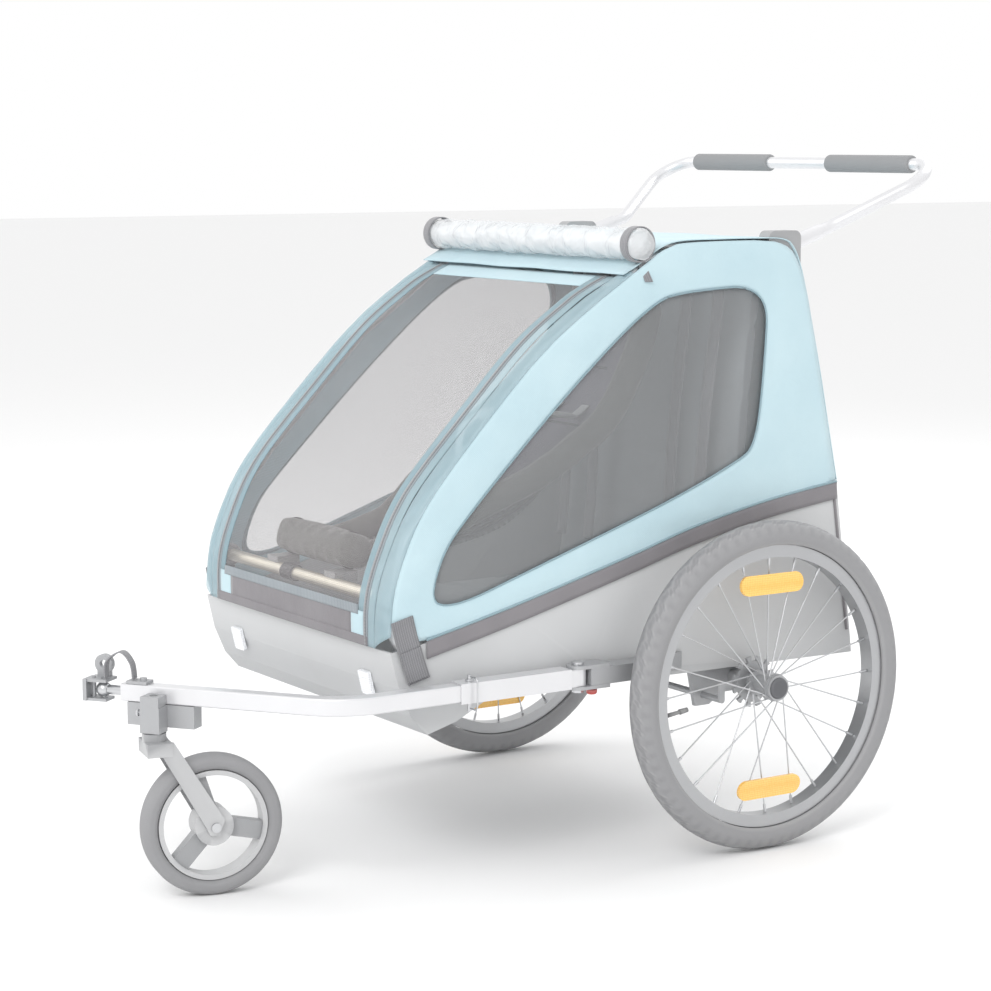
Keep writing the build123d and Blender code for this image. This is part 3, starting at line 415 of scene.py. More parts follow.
class Kit:
    """Every finish of the trailer, made once and shared."""

    def __init__(self) -> None:
        """Makes the materials."""
        makers = [
            # coated polyester, woven plain: pale aqua with grey-blue in its folds
            Cloth("aqua_polyester", "#C6DCE2", "#B0CAD3"),
            # one thin uncoated layer, which the light comes through
            Cloth("aqua_voile", "#C0D6DD", "#A4C0CA", alpha=0.5),
            Cloth("aqua_lining", "#A3BCC5", "#8DA8B2", alpha=0.7),
            Cloth("grey_polyester", "#8F8C8F", "#767377"),
            Cloth("stitched_band", "#9FA6AB", "#7F878D", Weave.RIBBED, 2.2),
            Cloth("seat_cloth", "#B4B9BC", "#9DA3A7"),
            Cloth("webbing", "#97979A", "#6E6E72", Weave.RIBBED, 1.8),
            Cloth("pale_webbing", "#C9C9C9", "#A9A9AB", Weave.RIBBED, 1.8),
            # brushed jersey over foam, two yarns twisted: mid-grey flecks
            Cloth("heather_jersey", "#6E6E69", "#454542", Weave.HEATHER, 1.5, 0.35),
            Cloth("sling_quilt", "#756F7D", "#5A5562", Weave.PLAIN, 1.5, 0.3),
            Cloth("black_binding", "#2E2E2F", "#1A1A1B", Weave.RIBBED, 1.6),
            Net("sling_net", "#2A2A2B", 9.0, 5.2),
            Veil("insect_net", "#C2BFC1", 0.17),
            Film("tinted_window", "#AEB0B2", 0.27, 0.22, 5.0, 0.003),
            Film("clear_film", "#F2F4F6", 0.5, 0.08, 24.0, 0.012),
            Moulding("tub_shell", "#AFB1B3", 0.55, 1.1, 0.1),
            Moulding("dark_nylon", "#5B5C60", 0.45),
            Moulding("black_acetal", "#232325", 0.35, 0.7, 0.05),
            Moulding("grey_nylon", "#97989A", 0.5),
            Moulding("fork_nylon", "#A1A2A4", 0.48),
            Moulding("red_nylon", "#C8453C", 0.4, 0.7, 0.04),
            Moulding("foam_grip", "#8E8F91", 0.9, 1.3, 0.5),
            Moulding("pale_rubber", "#939395", 0.75, 1.4, 0.2),
            Metal("anodised_tube", "#E6E6E8", 0.34, 0.6, (1.0, 0.15, 1.0)),
            Metal("rim_alloy", "#B9BABC", 0.34, 0.9, (1.0, 0.3, 1.0)),
            Metal("cast_alloy", "#B9BABC", 0.5, 0.7),
            Metal("zinc_steel", "#D2D3D5", 0.3, 1.0),
            Metal("champagne_tube", "#E9E2D2", 0.34, 0.75, (0.15, 1.0, 1.0)),
            Reflector("amber_reflector", "#FFD77A", "#E59B2B"),
            Reflector("clear_reflector", "#F6F7F9", "#C9CDD2"),
        ]
        self.made = {maker.name: maker.make() for maker in makers}

    def dress(self, piece: bpy.types.Object, name: str) -> None:
        """Gives a piece one finish all over."""
        piece.data.materials.clear()
        piece.data.materials.append(self.made[name])

    def piece(self, name: str, mesh: bmesh.types.BMesh, body: str, finish_name: str,
              slot: str) -> bpy.types.Object:
        """Makes a piece on its body, with its finish.

        Args:
            name: the piece's name.
            mesh: its shape, in the frame's metres.
            body: the CAD body that carries it, or FOLDS.
            finish_name: the finish it wears.
            slot: not used.

        Returns:
            The new piece.
        """
        made = finish(name, mesh, body)
        self.dress(made, finish_name)
        return made

    def dress_node(self, node: str, name: str) -> None:
        """Gives a CAD node's slots one finish."""
        slots = NODES[node].material_slots
        if not slots:
            NODES[node].data.materials.append(self.made[name])
        for slot in slots:
            slot.material = self.made[name]


# ------------------------------------------------------------------ building
def finish(name: str, mesh: bmesh.types.BMesh, body: str, smooth: bool = True) -> bpy.types.Object:
    """Turns a bmesh into a finished object that rides on a body.

    Args:
        name: the piece's name.
        mesh: its shape, in the frame's metres.
        body: the CAD body that carries it, or FOLDS for cloth between base and cage, which is left on no
            body.
        smooth: whether its faces are shaded smooth.

    Returns:
        The new object.
    """
    bmesh.ops.recalc_face_normals(mesh, faces=mesh.faces)
    data = bpy.data.meshes.new(name)
    mesh.to_mesh(data)
    mesh.free()
    piece = bpy.data.objects.new(name, data)
    bpy.context.scene.collection.objects.link(piece)
    for polygon in data.polygons:
        polygon.use_smooth = smooth
    if body != FOLDS:
        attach(piece, body)
    LOG.info("%s on %s, %d faces", name, body, len(data.polygons))
    return piece


def thicken(piece: bpy.types.Object, thickness: float, offset: float = 0.0,
            levels: int = 0) -> bpy.types.Object:
    """Gives a sheet its thickness, and softens it.

    Args:
        piece: the sheet.
        thickness: in millimetres.
        offset: -1 grows it inwards, 0 both ways and 1 outwards.
        levels: how often it is subdivided.

    Returns:
        The same object.
    """
    wall = piece.modifiers.new("wall", "SOLIDIFY")
    wall.thickness = thickness * MM
    wall.offset = offset
    if levels:
        soften = piece.modifiers.new("soften", "SUBSURF")
        soften.levels = soften.render_levels = levels
    return piece


Surface = Callable[[float, float], Vector]


def woven(across: int, along: int, surface: Surface, size: tuple[float, float],
          wrap: bool = False) -> bmesh.types.BMesh:
    """A grid laid on a surface, its UV map in metres.

    Args:
        across: cells in the first direction.
        along: cells in the second direction.
        surface: gives the place of (u, v), each from 0 to 1.
        size: the sheet's flat width and length, in metres.
        wrap: whether the first direction closes on itself.

    Returns:
        The laid grid.
    """
    mesh = bmesh.new()
    bmesh.ops.create_grid(mesh, x_segments=across, y_segments=along, size=0.5)
    threads = mesh.loops.layers.uv.new("UVMap")
    for face in mesh.faces:
        for loop in face.loops:
            u, v = loop.vert.co.x + 0.5, loop.vert.co.y + 0.5
            loop[threads].uv = (u * size[0], v * size[1])
    for vert in mesh.verts:
        vert.co = surface(vert.co.x + 0.5, vert.co.y + 0.5)
    if wrap:
        bmesh.ops.remove_doubles(mesh, verts=mesh.verts, dist=1e-5)
    return mesh


def tube(path: list[Vector], radius: Callable[[float, float], float], rings: int,
         sides: int) -> bmesh.types.BMesh:
    """A closed round form along a path.

    Args:
        path: the points that its middle follows.
        radius: gives the radius in metres at (turn, along), each from 0 to 1.
        rings: cells along it.
        sides: cells round it.

    Returns:
        The form, with closed ends.
    """
    length = sum((b - a).length for a, b in zip(path, path[1:]))
    girth = math.tau * radius(0.0, 0.5)

    def skin(u: float, v: float) -> Vector:
        centre = sample(path, v)
        forward = (sample(path, v + 0.01) - sample(path, v - 0.01)).normalized()
        right = forward.cross(Vector((0.0, 0.3, 1.0))).normalized()
        up = right.cross(forward)
        turn = u * math.tau
        return centre + (right * math.cos(turn) + up * math.sin(turn)) * radius(u, v)

    mesh = woven(sides, rings, skin, (girth, length), wrap=True)
    ends = [edge for edge in mesh.edges if edge.is_boundary]
    bmesh.ops.holes_fill(mesh, edges=ends, sides=0)
    return mesh


def hoop(centre: Vector, depth: float, height: float, steps: int) -> list[Vector]:
    """Points round an upright oval that faces along X, ending where they began."""
    turns = [i * math.tau / steps for i in range(steps + 1)]
    return [centre + Vector((0, math.cos(a) * depth, math.sin(a) * height)) for a in turns]


def ribbon(path: list[Vector], wide: Vector | Callable[[float], Vector], cells: int,
           width: float) -> bmesh.types.BMesh:
    """A flat strip along a path.

    Args:
        path: the points that its middle follows.
        wide: the direction of its width, fixed or by distance along.
        cells: cells along it.
        width: in metres.

    Returns:
        The strip.
    """
    length = sum((b - a).length for a, b in zip(path, path[1:]))

    def skin(u: float, v: float) -> Vector:
        direction = wide(v) if callable(wide) else wide
        return sample(path, v) + direction.normalized() * (u - 0.5) * width

    return woven(4, cells, skin, (width, length))


def crowned(size: tuple[float, float, float], crown: float, channels: tuple[float, ...] = (),
            cells: int = 36) -> bmesh.types.BMesh:
    """A stuffed cushion lying flat on its middle plane, pulled in between its corners.

    Args:
        size: its width, length and thickness in metres.
        crown: how much of its thickness the middle keeps over the edge.
        channels: sewn lines across it, as shares of its length.
        cells: cells on each side.

    Returns:
        The cushion, centred on the origin.
    """
    mesh = bmesh.new()
    bmesh.ops.create_cube(mesh, size=1.0)
    bmesh.ops.subdivide_edges(mesh, edges=mesh.edges, cuts=cells - 1, use_grid_fill=True)
    threads = mesh.loops.layers.uv.new("UVMap")
    for face in mesh.faces:
        for loop in face.loops:
            loop[threads].uv = (loop.vert.co.x * size[0], loop.vert.co.y * size[1] + loop.vert.co.z * size[2])
    for vert in mesh.verts:
        x, y, z = (c * 2 for c in vert.co)
        pull = 1 - 0.035 * (1 - y * y) * abs(x)
        draw = 1 - 0.035 * (1 - x * x) * abs(y)
        rim = (1 - abs(x) ** 6) * (1 - abs(y) ** 6)
        dome = (1 - crown) + crown * max(rim, 0.0) ** 0.35
        dip = sum(0.30 * math.exp(-(((y * 0.5 + 0.5) - c) * size[1] / 0.007) ** 2) for c in channels)
        vert.co = Vector((x * pull * size[0], y * draw * size[1], z * max(dome - dip, 0.2) * size[2])) / 2
    return mesh


def puffed(piece: bpy.types.Object, cap: float) -> None:
    """Swells a padded piece by a short cloth simulation under pressure, each point held to a cap.

    Args:
        piece: the padded piece.
        cap: how far a point may move, in metres.
    """
    rest = [v.co.copy() for v in piece.data.vertices]
    cloth = piece.modifiers.new("puff", "CLOTH")
    cloth.settings.use_pressure = True
    cloth.settings.uniform_pressure_force = PRESSURE
    cloth.settings.effector_weights.gravity = 0.0
    cloth.settings.quality = 4
    for step in range(1, PUFF_FRAMES + 1):
        bpy.context.scene.frame_set(step)
    solved = piece.evaluated_get(bpy.context.evaluated_depsgraph_get())
    moved = [v.co.copy() for v in solved.data.vertices]
    piece.modifiers.remove(cloth)
    bpy.context.scene.frame_set(1)
    for vert, before, after in zip(piece.data.vertices, rest, moved):
        shift = after - before
        vert.co = before + shift * min(1.0, cap / max(shift.length, 1e-9))


def fold_with_cage(piece: bpy.types.Object) -> None:
    """Bakes the transform of cloth between the tub and the cage into its mesh."""
    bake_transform(piece)


HEM: Outline = [(-548, 358), (-404, 393), (-200, 449), (-84, 483), (54, 513), (186, 533)]
FRONT_EDGE: Outline = [(-604, 372), (-599, 432), (-577, 490), (-553, 536), (-516, 584), (-434, 672),
                       (-343, 762), (-265, 818), (-186, 868)]
COVER_EDGE: Outline = [(-611, 352), (-611, 400), (-604, 440), (-585, 490), (-560, 540), (-524, 588),
                       (-440, 676), (-350, 766), (-272, 823), (-200, 860)]
REAR_EDGE: Outline = [(186, 540), (170, 626), (135, 815), (120, 866), (100, 900)]
WINDOW: Outline = [(-155, 825), (-93, 838), (57, 845), (48, 720), (31, 600), (-10, 578), (-120, 532),
                   (-340, 458), (-545, 390), (-523, 480), (-470, 540), (-300, 705)]


def on_side(side: Side, y: float, z: float, out: float = 0.0) -> Vector:
    """A point on one flat side of the body, out from it by some millimetres."""
    return place(side.value * (side_x(y, z) + out), y, z)


@dataclass
class Shell:
    """The cage's fabric: side panels, windows and one canopy sheet over the roof and down the back."""

    kit: Kit
    slack: float = 2.0
    around: int = 168
    rings: int = 12
    canopy_line: Outline = field(default_factory=lambda: [
        (-206, 866), (-178, 880), (-140, 903), (-105, 912.5), (-40, 914), (40, 914), (86, 912), (106, 900),
        (121, 866), (137, 800), (155, 716), (172, 626), (188, 540)])

    def side_panel(self, side: Side) -> bpy.types.Object:
        """The side panel with its window opening: a ring of cloth between two outlines."""
        outer = HEM + REAR_EDGE + [(60, 911), (-60, 911), (-124, 908)] + FRONT_EDGE[::-1]
        loops = []
        for outline, rounds in ((outer, 1), (WINDOW, 3)):
            points = even([Vector((0, y, z)) for y, z in outline], self.around, True, rounds)
            middle = Vector((0, -160, 650))
            points.sort(key=lambda p: math.atan2(p.z - middle.z, p.y - middle.y))
            loops.append(points)
        mesh = bmesh.new()
        threads = mesh.loops.layers.uv.new("UVMap")
        rows = []
        for k in range(self.rings + 1):
            share = k / self.rings
            row = []
            for i, (a, b) in enumerate(zip(*loops)):
                flat = a.lerp(b, share)
                swell = 1 + 0.5 * math.sin(i * 0.37) * math.sin(i * 0.11)
                billow = self.slack * math.sin(math.pi * share) * swell
                row.append(mesh.verts.new(on_side(side, flat.y, flat.z, billow)))
            rows.append(row)
        edges = [[mesh.edges.new((row[i], row[(i + 1) % len(row)])) for i in range(len(row))] for row in rows]
        for low, high in zip(edges, edges[1:]):
            bmesh.ops.bridge_loops(mesh, edges=low + high)
        for face in mesh.faces:
            for loop in face.loops:
                loop[threads].uv = (loop.vert.co.y, loop.vert.co.z)
        piece = self.kit.piece(f"{side.word}_side_panel", mesh, FOLDS, "aqua_polyester", "fabric_blue")
        thicken(piece, 1.4, -0.2)
        return piece

    def window(self, side: Side) -> bpy.types.Object:
        """The tinted film behind the opening, welded in with a margin."""
        outline = even([Vector((0, y, z)) for y, z in WINDOW], self.around, True, 3)
        middle = sum(outline, Vector()) / len(outline)
        mesh = bmesh.new()
        mesh.loops.layers.uv.new("UVMap")
        rows = []
        for k in range(9):
            share = 1.03 - k * 0.12
            row = []
            for point in outline:
                flat = middle + (point - middle) * share
                wave = 1.3 * math.sin(flat.y * 0.016 + flat.z * 0.01) * math.sin(flat.z * 0.014)
                depth = -2.6 + min(k, 2) * 0.5 * wave * share
                row.append(mesh.verts.new(on_side(side, flat.y, flat.z, depth)))
            rows.append(row)
        edges = [[mesh.edges.new((row[i], row[(i + 1) % len(row)])) for i in range(len(row))] for row in rows]
        for low, high in zip(edges, edges[1:]):
            bmesh.ops.bridge_loops(mesh, edges=low + high)
        filled = bmesh.ops.contextual_create(mesh, geom=edges[-1])
        bmesh.ops.poke(mesh, faces=filled["faces"])
        piece = self.kit.piece(f"{side.word}_window_film", mesh, FOLDS, "tinted_window", "window")
        thicken(piece, 0.6)
        return piece

    def edging(self, side: Side) -> list[bpy.types.Object]:
        """Binding round the window, the grey hem over the tub's edge and its piping."""
        made = []
        around = even([Vector((0, y, z)) for y, z in WINDOW], 120, True, 3)
        line = [on_side(side, p.y, p.z, 1.3) for p in around + around[:1]]
        window_band = tube(line, lambda u, v: 1.3 * MM, 240, 6)
        made.append((f"{side.word}_window_piping", window_band, "aqua_lining"))
        hem = [on_side(side, y, z - 9, 2.2) for y, z in HEM]
        tilt = on_side(side, 0, 500) - on_side(side, 0, 400)
        band = ribbon(hem, tilt, 90, 0.026)
        made.append((f"{side.word}_hem_band", band, "grey_polyester"))
        pipe = tube([on_side(side, y, z + 5, 2.0) for y, z in HEM], lambda u, v: 2.0 * MM, 90, 8)
        made.append((f"{side.word}_hem_piping", pipe, "aqua_lining"))
        pieces = []
        for name, mesh, finish_name in made:
            piece = self.kit.piece(name, mesh, FOLDS, finish_name, "fabric_blue")
            if name.endswith("hem_band"):
                thicken(piece, 1.6)
            pieces.append(piece)
        return pieces

    def corner(self, side: Side) -> bpy.types.Object:
        """The cloth that wraps each bent side tube, from the side panel to the front cover's edge."""
        outer = even([on_side(side, y, z, 0.3) for y, z in FRONT_EDGE], 97, rounds=1)
        inner = even([place(side.value * 250, y, z - 0.5) for y, z in COVER_EDGE], 97, rounds=1)

        def skin(u: float, v: float) -> Vector:
            i = round(v * 96)
            flat = outer[i].lerp(inner[i], u)
            run = outer[min(i + 1, 96)] - outer[max(i - 1, 0)]
            out = run.cross(inner[i] - outer[i]).normalized() * side.value
            pucker = 1 + 0.05 * math.sin(v * 70) * math.sin(v * 23)
            return flat + out * (math.sin(math.pi * u) ** 0.7 * 5.5 * pucker * MM)

        mesh = woven(12, 96, skin, (0.036, 0.68))
        piece = self.kit.piece(f"{side.word}_corner_sheet", mesh, "cage", "aqua_voile", "fabric_blue")
        thicken(piece, 0.8)
        return piece

    def canopy(self) -> bpy.types.Object:
        """One sheet from the front cross tube over the roof and down the back."""
        line = [Vector((0, y, z)) for y, z in self.canopy_line]
        smooth = even([sample(line, k / 60) for k in range(61)], 80)

        def skin(u: float, v: float) -> Vector:
            at = smooth[min(int(round(v * 79)), 79)]
            x = u * 2 - 1
            half = side_x(at.y, at.z, 0.4)
            sag = 3.0 * (1 - x * x) * math.sin(math.pi * min(v * 2.2, 1.0))
            ripple = 0.6 * math.sin(x * 9 + v * 14) * (1 - x * x)
            return place(x * half, at.y, at.z - sag + ripple)

        mesh = woven(60, 79, skin, (0.57, 0.75))
        piece = self.kit.piece("canopy", mesh, FOLDS, "aqua_polyester", "fabric_blue")
        thicken(piece, 1.4)
        return piece

    def build(self) -> None:
        """Makes the whole shell and takes the plain panels' place."""
        canopy = self.canopy()
        fold_with_cage(canopy)
        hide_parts("covers")
        for side in Side:
            panel, film = self.side_panel(side), self.window(side)
            self.corner(side)
            for piece in [panel, film, *self.edging(side)]:
                fold_with_cage(piece)
        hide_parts("side_windows")


@dataclass
class FrontCover:
    """The insect-net cover over the front, with cloth borders and a dark panel at its foot."""

    kit: Kit
    line: Outline = field(default_factory=lambda: [
        (-200.4, 860.5), (-238, 843), (-272, 823), (-350, 766), (-440, 676), (-524, 588), (-560, 540),
        (-585, 490), (-604, 440), (-611, 400), (-611, 352)])

    def skin(self, x0: float, x1: float, t0: float, t1: float, lift: float = 0.0) -> Surface:
        """A surface on the cover between two widths and two distances along it.

        Args:
            x0: first width in millimetres.
            x1: second width in millimetres.
            t0: where it starts along the cover, from 0 to 1.
            t1: where it ends along the cover.
            lift: how far it stands out, in millimetres.

        Returns:
            The surface.
        """
        points = [Vector((0, y, z)) for y, z in self.line]
        smooth = even([sample(points, k / 120) for k in range(121)], 241)

        def surface(u: float, v: float) -> Vector:
            t = t0 + (t1 - t0) * v
            i = min(int(t * 240), 239)
            at = smooth[i].lerp(smooth[i + 1], t * 240 - i)
            run = (smooth[i + 1] - smooth[i]).normalized()
            out = Vector((0, -run.z, run.y)) * -1 if run.y > 0 else Vector((0, run.z, -run.y))
            x = x0 + (x1 - x0) * u
            crown = 4.0 * (1 - (x / 256) ** 2) * math.sin(math.pi * t)
            return place(x, at.y, at.z) + out * (lift + crown) * MM

        return surface

    def strip(self, name: str, x0: float, x1: float, t0: float, t1: float, finish_name: str,
              lift: float) -> bpy.types.Object:
        """One strip of cloth on the cover, between two widths and two distances along it."""
        size = (abs(x1 - x0) * MM, 0.70 * (t1 - t0))
        mesh = woven(max(4, int(abs(x1 - x0) / 8)), max(6, int(90 * (t1 - t0))),
                     self.skin(x0, x1, t0, t1, lift), size)
        piece = self.kit.piece(name, mesh, "front_cover", finish_name,
                               "net" if finish_name == "insect_net" else "fabric_blue")
        thicken(piece, 1.0 if finish_name != "insect_net" else 0.4)
        return piece

    def build(self) -> None:
        """Makes the net, its borders, bands and foot panel."""
        net = self.strip("net_panel", -212, 212, 0.03, 0.93, "insect_net", 0.0)
        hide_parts("front_mesh")
        for side in Side:
            s, n = side.value, side.word
            self.strip(f"{n}_inner_border", s * 206, s * 222, 0.0, 0.93, "aqua_lining", 0.5)
            self.strip(f"{n}_zip_band", s * 221, s * 233, 0.0, 1.0, "stitched_band", 0.9)
            self.strip(f"{n}_outer_border", s * 232, s * 251, 0.0, 1.0, "aqua_voile", 0.5)
            teeth = [self.skin(s * 227, s * 227, 0, 1, 1.9)(0, k / 40) for k in range(41)]
            coil = self.kit.piece(f"{n}_zip_coil",
                                  tube(teeth, lambda u, v: (1.3 + 0.3 * math.sin(v * 900)) * MM, 420, 6),
                                  "front_cover", "dark_nylon", "dark_plastic")
            self.strip(f"{n}_foot_corner", s * 184, s * 222, 0.93, 1.0, "aqua_polyester", 0.7)
        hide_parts("front_cover_border")
        self.strip("top_border", -206, 206, 0.0, 0.05, "aqua_polyester", 0.5)
        self.strip("foot_panel", -186, 186, 0.93, 0.993, "grey_polyester", 0.8)
        self.strip("foot_binding", -206, 206, 0.918, 0.938, "stitched_band", 1.4)
        self.strip("foot_hem", -232, 232, 0.98, 1.0, "grey_polyester", 1.6)


@dataclass
class Seat:
    """The two-place seat: cushion, seat back with sewn channels, and four belts."""

    kit: Kit

    def build(self) -> None:
        """Makes the cushion, the seat back and the belts."""
        low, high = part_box("seat_cushion")
        size = high - low
        mesh = crowned((size.x, size.y, size.z * 0.9), 0.35, (0.33, 0.66))
        bmesh.ops.translate(mesh, verts=mesh.verts, vec=(low + high) / 2)
        cushion = self.kit.piece("seat_cushion_cover", mesh, "base", "seat_cloth", "fabric_grey")
        puffed(cushion, 0.004)
        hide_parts("seat_cushion")
        low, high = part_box("backrest")
        tilt = Matrix.Rotation(math.radians(-5), 4, "X")
        mesh = crowned((high.x - low.x, (high.z - low.z) * 0.985, 0.026), 0.45, (0.2, 0.4, 0.6, 0.8), 44)
        bmesh.ops.rotate(mesh, verts=mesh.verts, cent=(0, 0, 0),
                         matrix=Matrix.Rotation(math.radians(90), 3, "X"))
        bmesh.ops.transform(mesh, verts=mesh.verts, matrix=Matrix.Translation((low + high) / 2) @ tilt)
        back = self.kit.piece("seat_back_pad", mesh, FOLDS, "seat_cloth", "fabric_grey")
        puffed(back, 0.004)
        fold_with_cage(back)
        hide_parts("backrest")
        for k, x in enumerate((-190, -110, 110, 190)):
            path = []
            for t in (0, 0.2, 0.4, 0.6, 0.8, 1):
                at = place(x * (1 - 0.06 * t), 68 - 41 * t + 2 * math.sin(9 * t), 880 - 470 * t)
                path.append(at + Vector((0, -0.026, 0)))
            belt = self.kit.piece(f"seat_belt_{k + 1}", ribbon(path, Vector((1, 0, 0)), 60, 0.026), FOLDS,
                                  "webbing", "fabric_grey")
            thicken(belt, 2.0)
            fold_with_cage(belt)
        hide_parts("seat_harness")


SLING_RAIL: list[tuple[float, float, float]] = [
    (76.7, -7.5, 808.2), (118, -68, 722), (146, -140, 642), (148, -200, 600), (136, -262, 558),
    (106, -330, 520), (80, -388, 486), (70, -450, 467), (68, -524, 452)]
SLING_FLOOR: Outline = [(-4, 794), (-38, 722), (-81, 652), (-120, 598), (-182, 533), (-244, 473), (-330, 446),
                        (-420, 438), (-508, 440)]


@dataclass
class Sling:
    """The hanging infant sling: padded edges, net body, quilted pad, foot bolster and harness."""

    kit: Kit

    def floor(self, t: float) -> Vector:
        """The net's lowest line, along the sling."""
        return sample([place(0, y, z) for y, z in SLING_FLOOR], t)

    def rail(self, t: float, side: float) -> Vector:
        """The middle of a padded edge, along the sling."""
        return sample([place(side * x, y, z) for x, y, z in SLING_RAIL], t)

    def hammock(self, u: float, v: float, rise: float = 0.0) -> Vector:
        """A point of the net's hanging surface.

        Args:
            u: across, from the right edge at 0 to the left edge at 1.
            v: along, from the head at 0 to the foot at 1.
            rise: millimetres above the net.

        Returns:
            The place.
        """
        x = u * 2 - 1
        edge = self.rail(v, 1.0 if x > 0 else -1.0)
        low = self.floor(v)
        share = abs(x) ** 2.6
        flat = Vector((edge.x * abs(x) ** 0.9, low.y + (edge.y - low.y) * share,
                       low.z + (edge.z - low.z) * share))
        run = (self.floor(v + 0.02) - self.floor(v - 0.02)).normalized()
        return flat + Vector((0, run.z, -run.y)) * rise * MM

    def rails(self) -> None:
        """The two padded edges, soft tubes with a sewn seam underneath."""
        for side in Side:
            path = [self.rail(k / 16, side.value) for k in range(17)]

            def round_form(u: float, v: float) -> float:
                end = min(1.0, (min(v, 1 - v) / 0.03) ** 0.5 if min(v, 1 - v) < 0.03 else 1.0)
                seam = 1 - 0.10 * math.exp(-((u - 0.72) / 0.02) ** 2)
                squeeze = 1 + 0.035 * math.sin(v * 47 + side.value) * math.sin(u * math.tau + v * 9)
                return max(22.0 * (0.55 + 0.45 * end) * seam * squeeze * (1 - 0.12 * v), 3.0) * MM

            piece = self.kit.piece(f"{side.word}_sling_edge", tube(path, round_form, 150, 32), FOLDS,
                                   "heather_jersey", "sling_fabric")
            fold_with_cage(piece)
            if side is Side.LEFT:
                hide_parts("sling_rails")

    def net(self) -> None:
        """The net body and the black binding that joins it to the edges."""
        body = woven(44, 90, lambda u, v: self.hammock(0.08 + 0.84 * u, 0.01 + 0.98 * v), (0.42, 0.66))
        piece = self.kit.piece("sling_net_body", body, FOLDS, "sling_net", "sling_net")
        thicken(piece, 0.8)
        fold_with_cage(piece)
        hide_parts("sling_mesh")
        for x, name in ((0.13, "right"), (0.87, "left")):
            path = [self.hammock(x, k / 24, -1.5) for k in range(25)]
            band = self.kit.piece(f"{name}_net_binding", tube(path, lambda u, v: 3.2 * MM, 120, 10), FOLDS,
                                  "black_binding", "sling_net")
            fold_with_cage(band)

    def pad(self) -> None:
        """The quilted pad on the head end, with a sewn slot for the harness."""
        mesh = crowned((1.0, 1.0, 1.0), 0.5, (0.28, 0.5, 0.72), 30)
        for vert in mesh.verts:
            u, v, z = vert.co.x + 0.5, vert.co.y + 0.5, vert.co.z + 0.5
            vert.co = self.hammock(0.5 + (u - 0.5) * (0.66 - 0.16 * v), 0.03 + 0.54 * (1 - v), 1.5 + z * 9.5)
        piece = self.kit.piece("sling_back_pad", mesh, FOLDS, "sling_quilt", "sling_pad")
        fold_with_cage(piece)
        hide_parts("sling_pad")
        for k, (low, high) in enumerate(((0.16, 0.17), (0.34, 0.35))):
            slot = [self.hammock(u, (low + high) / 2, 12.2) for u in (0.38, 0.44, 0.5, 0.56, 0.62)]
            seam = self.kit.piece(f"sling_slot_{k + 1}", tube(slot, lambda u, v: 1.6 * MM, 24, 8), FOLDS,
                                  "black_binding", "sling_net")
            fold_with_cage(seam)

    def bolster(self) -> None:
        """The foot cushion strapped on the front crossbar."""
        low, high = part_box("sling_bolster")
        size = high - low
        path = [Vector((low.x + size.x * (0.02 + 0.96 * k / 12), (low.y + high.y) / 2,
                        (low.z + high.z) / 2)) for k in range(13)]

        def form(u: float, v: float) -> float:
            turn = u * math.tau
            square = (abs(math.cos(turn)) ** 4 + abs(math.sin(turn)) ** 4) ** -0.25
            end = min(1.0, (min(v, 1 - v) / 0.07) ** 0.5 if min(v, 1 - v) < 0.07 else 1.0)
            crease = 1 - 0.03 * abs(math.sin(v * 21)) * abs(math.sin(turn * 2))
            return size.z * 0.47 * square * (0.35 + 0.65 * end) * crease * 0.97

        piece = self.kit.piece("foot_bolster", tube(path, form, 90, 40), "base", "heather_jersey",
                               "sling_fabric")
        puffed(piece, 0.003)
        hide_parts("sling_bolster")
        for k, x in enumerate((-0.72, 0.72)):
            middle = (low + high) / 2 + Vector((x * size.x / 2, 0, 0))
            ring = hoop(middle, size.y * 0.52, size.z * 0.50, 20)
            tie = self.kit.piece(f"bolster_seam_{k + 1}", tube(ring, lambda u, v: 1.2 * MM, 60, 6), "base",
                                 "black_binding", "sling_fabric")

    def harness(self) -> None:
        """The buckle with its strap, the shoulder straps and their pale pads."""
        mesh = bmesh.new()
        bmesh.ops.create_cube(mesh, size=1.0)
        bmesh.ops.scale(mesh, verts=mesh.verts, vec=(0.036, 0.014, 0.038))
        bmesh.ops.bevel(mesh, geom=mesh.edges[:] + mesh.verts[:], offset=0.005, segments=4, profile=0.5,
                        affect="EDGES", material=-1)
        bmesh.ops.rotate(mesh, verts=mesh.verts, cent=(0, 0, 0),
                         matrix=Matrix.Rotation(math.radians(28), 3, "X"))
        bmesh.ops.translate(mesh, verts=mesh.verts, vec=place(0, -309, 562))
        buckle = self.kit.piece("sling_buckle", mesh, FOLDS, "black_acetal", "dark_plastic")
        fold_with_cage(buckle)
        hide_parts("sling_harness")
        crotch = [place(0, -309, 548), place(3, -309, 520), place(5, -304, 490), place(2, -297, 462)]
        strap = self.kit.piece("crotch_strap", ribbon(crotch, Vector((1, 0.2, 0)), 30, 0.024), FOLDS,
                               "black_binding", "sling_net")
        thicken(strap, 2.2)
        fold_with_cage(strap)
        for side in Side:
            s = side.value
            path = [place(s * 12, -306, 578), place(s * 34, -284, 618), place(s * 44, -230, 640),
                    place(s * 46, -176, 640),
                    place(s * 42, -132, 634), place(s * 34, -100, 648)]
            belt = self.kit.piece(f"{side.word}_shoulder_strap", ribbon(path, Vector((1, 0, 0)), 70, 0.020),
                                  FOLDS, "pale_webbing", "fabric_grey")
            thicken(belt, 1.8)
            fold_with_cage(belt)
            sleeve = [path[1].lerp(path[2], t) for t in (0.5, 1.0)] + [path[3], path[4]]

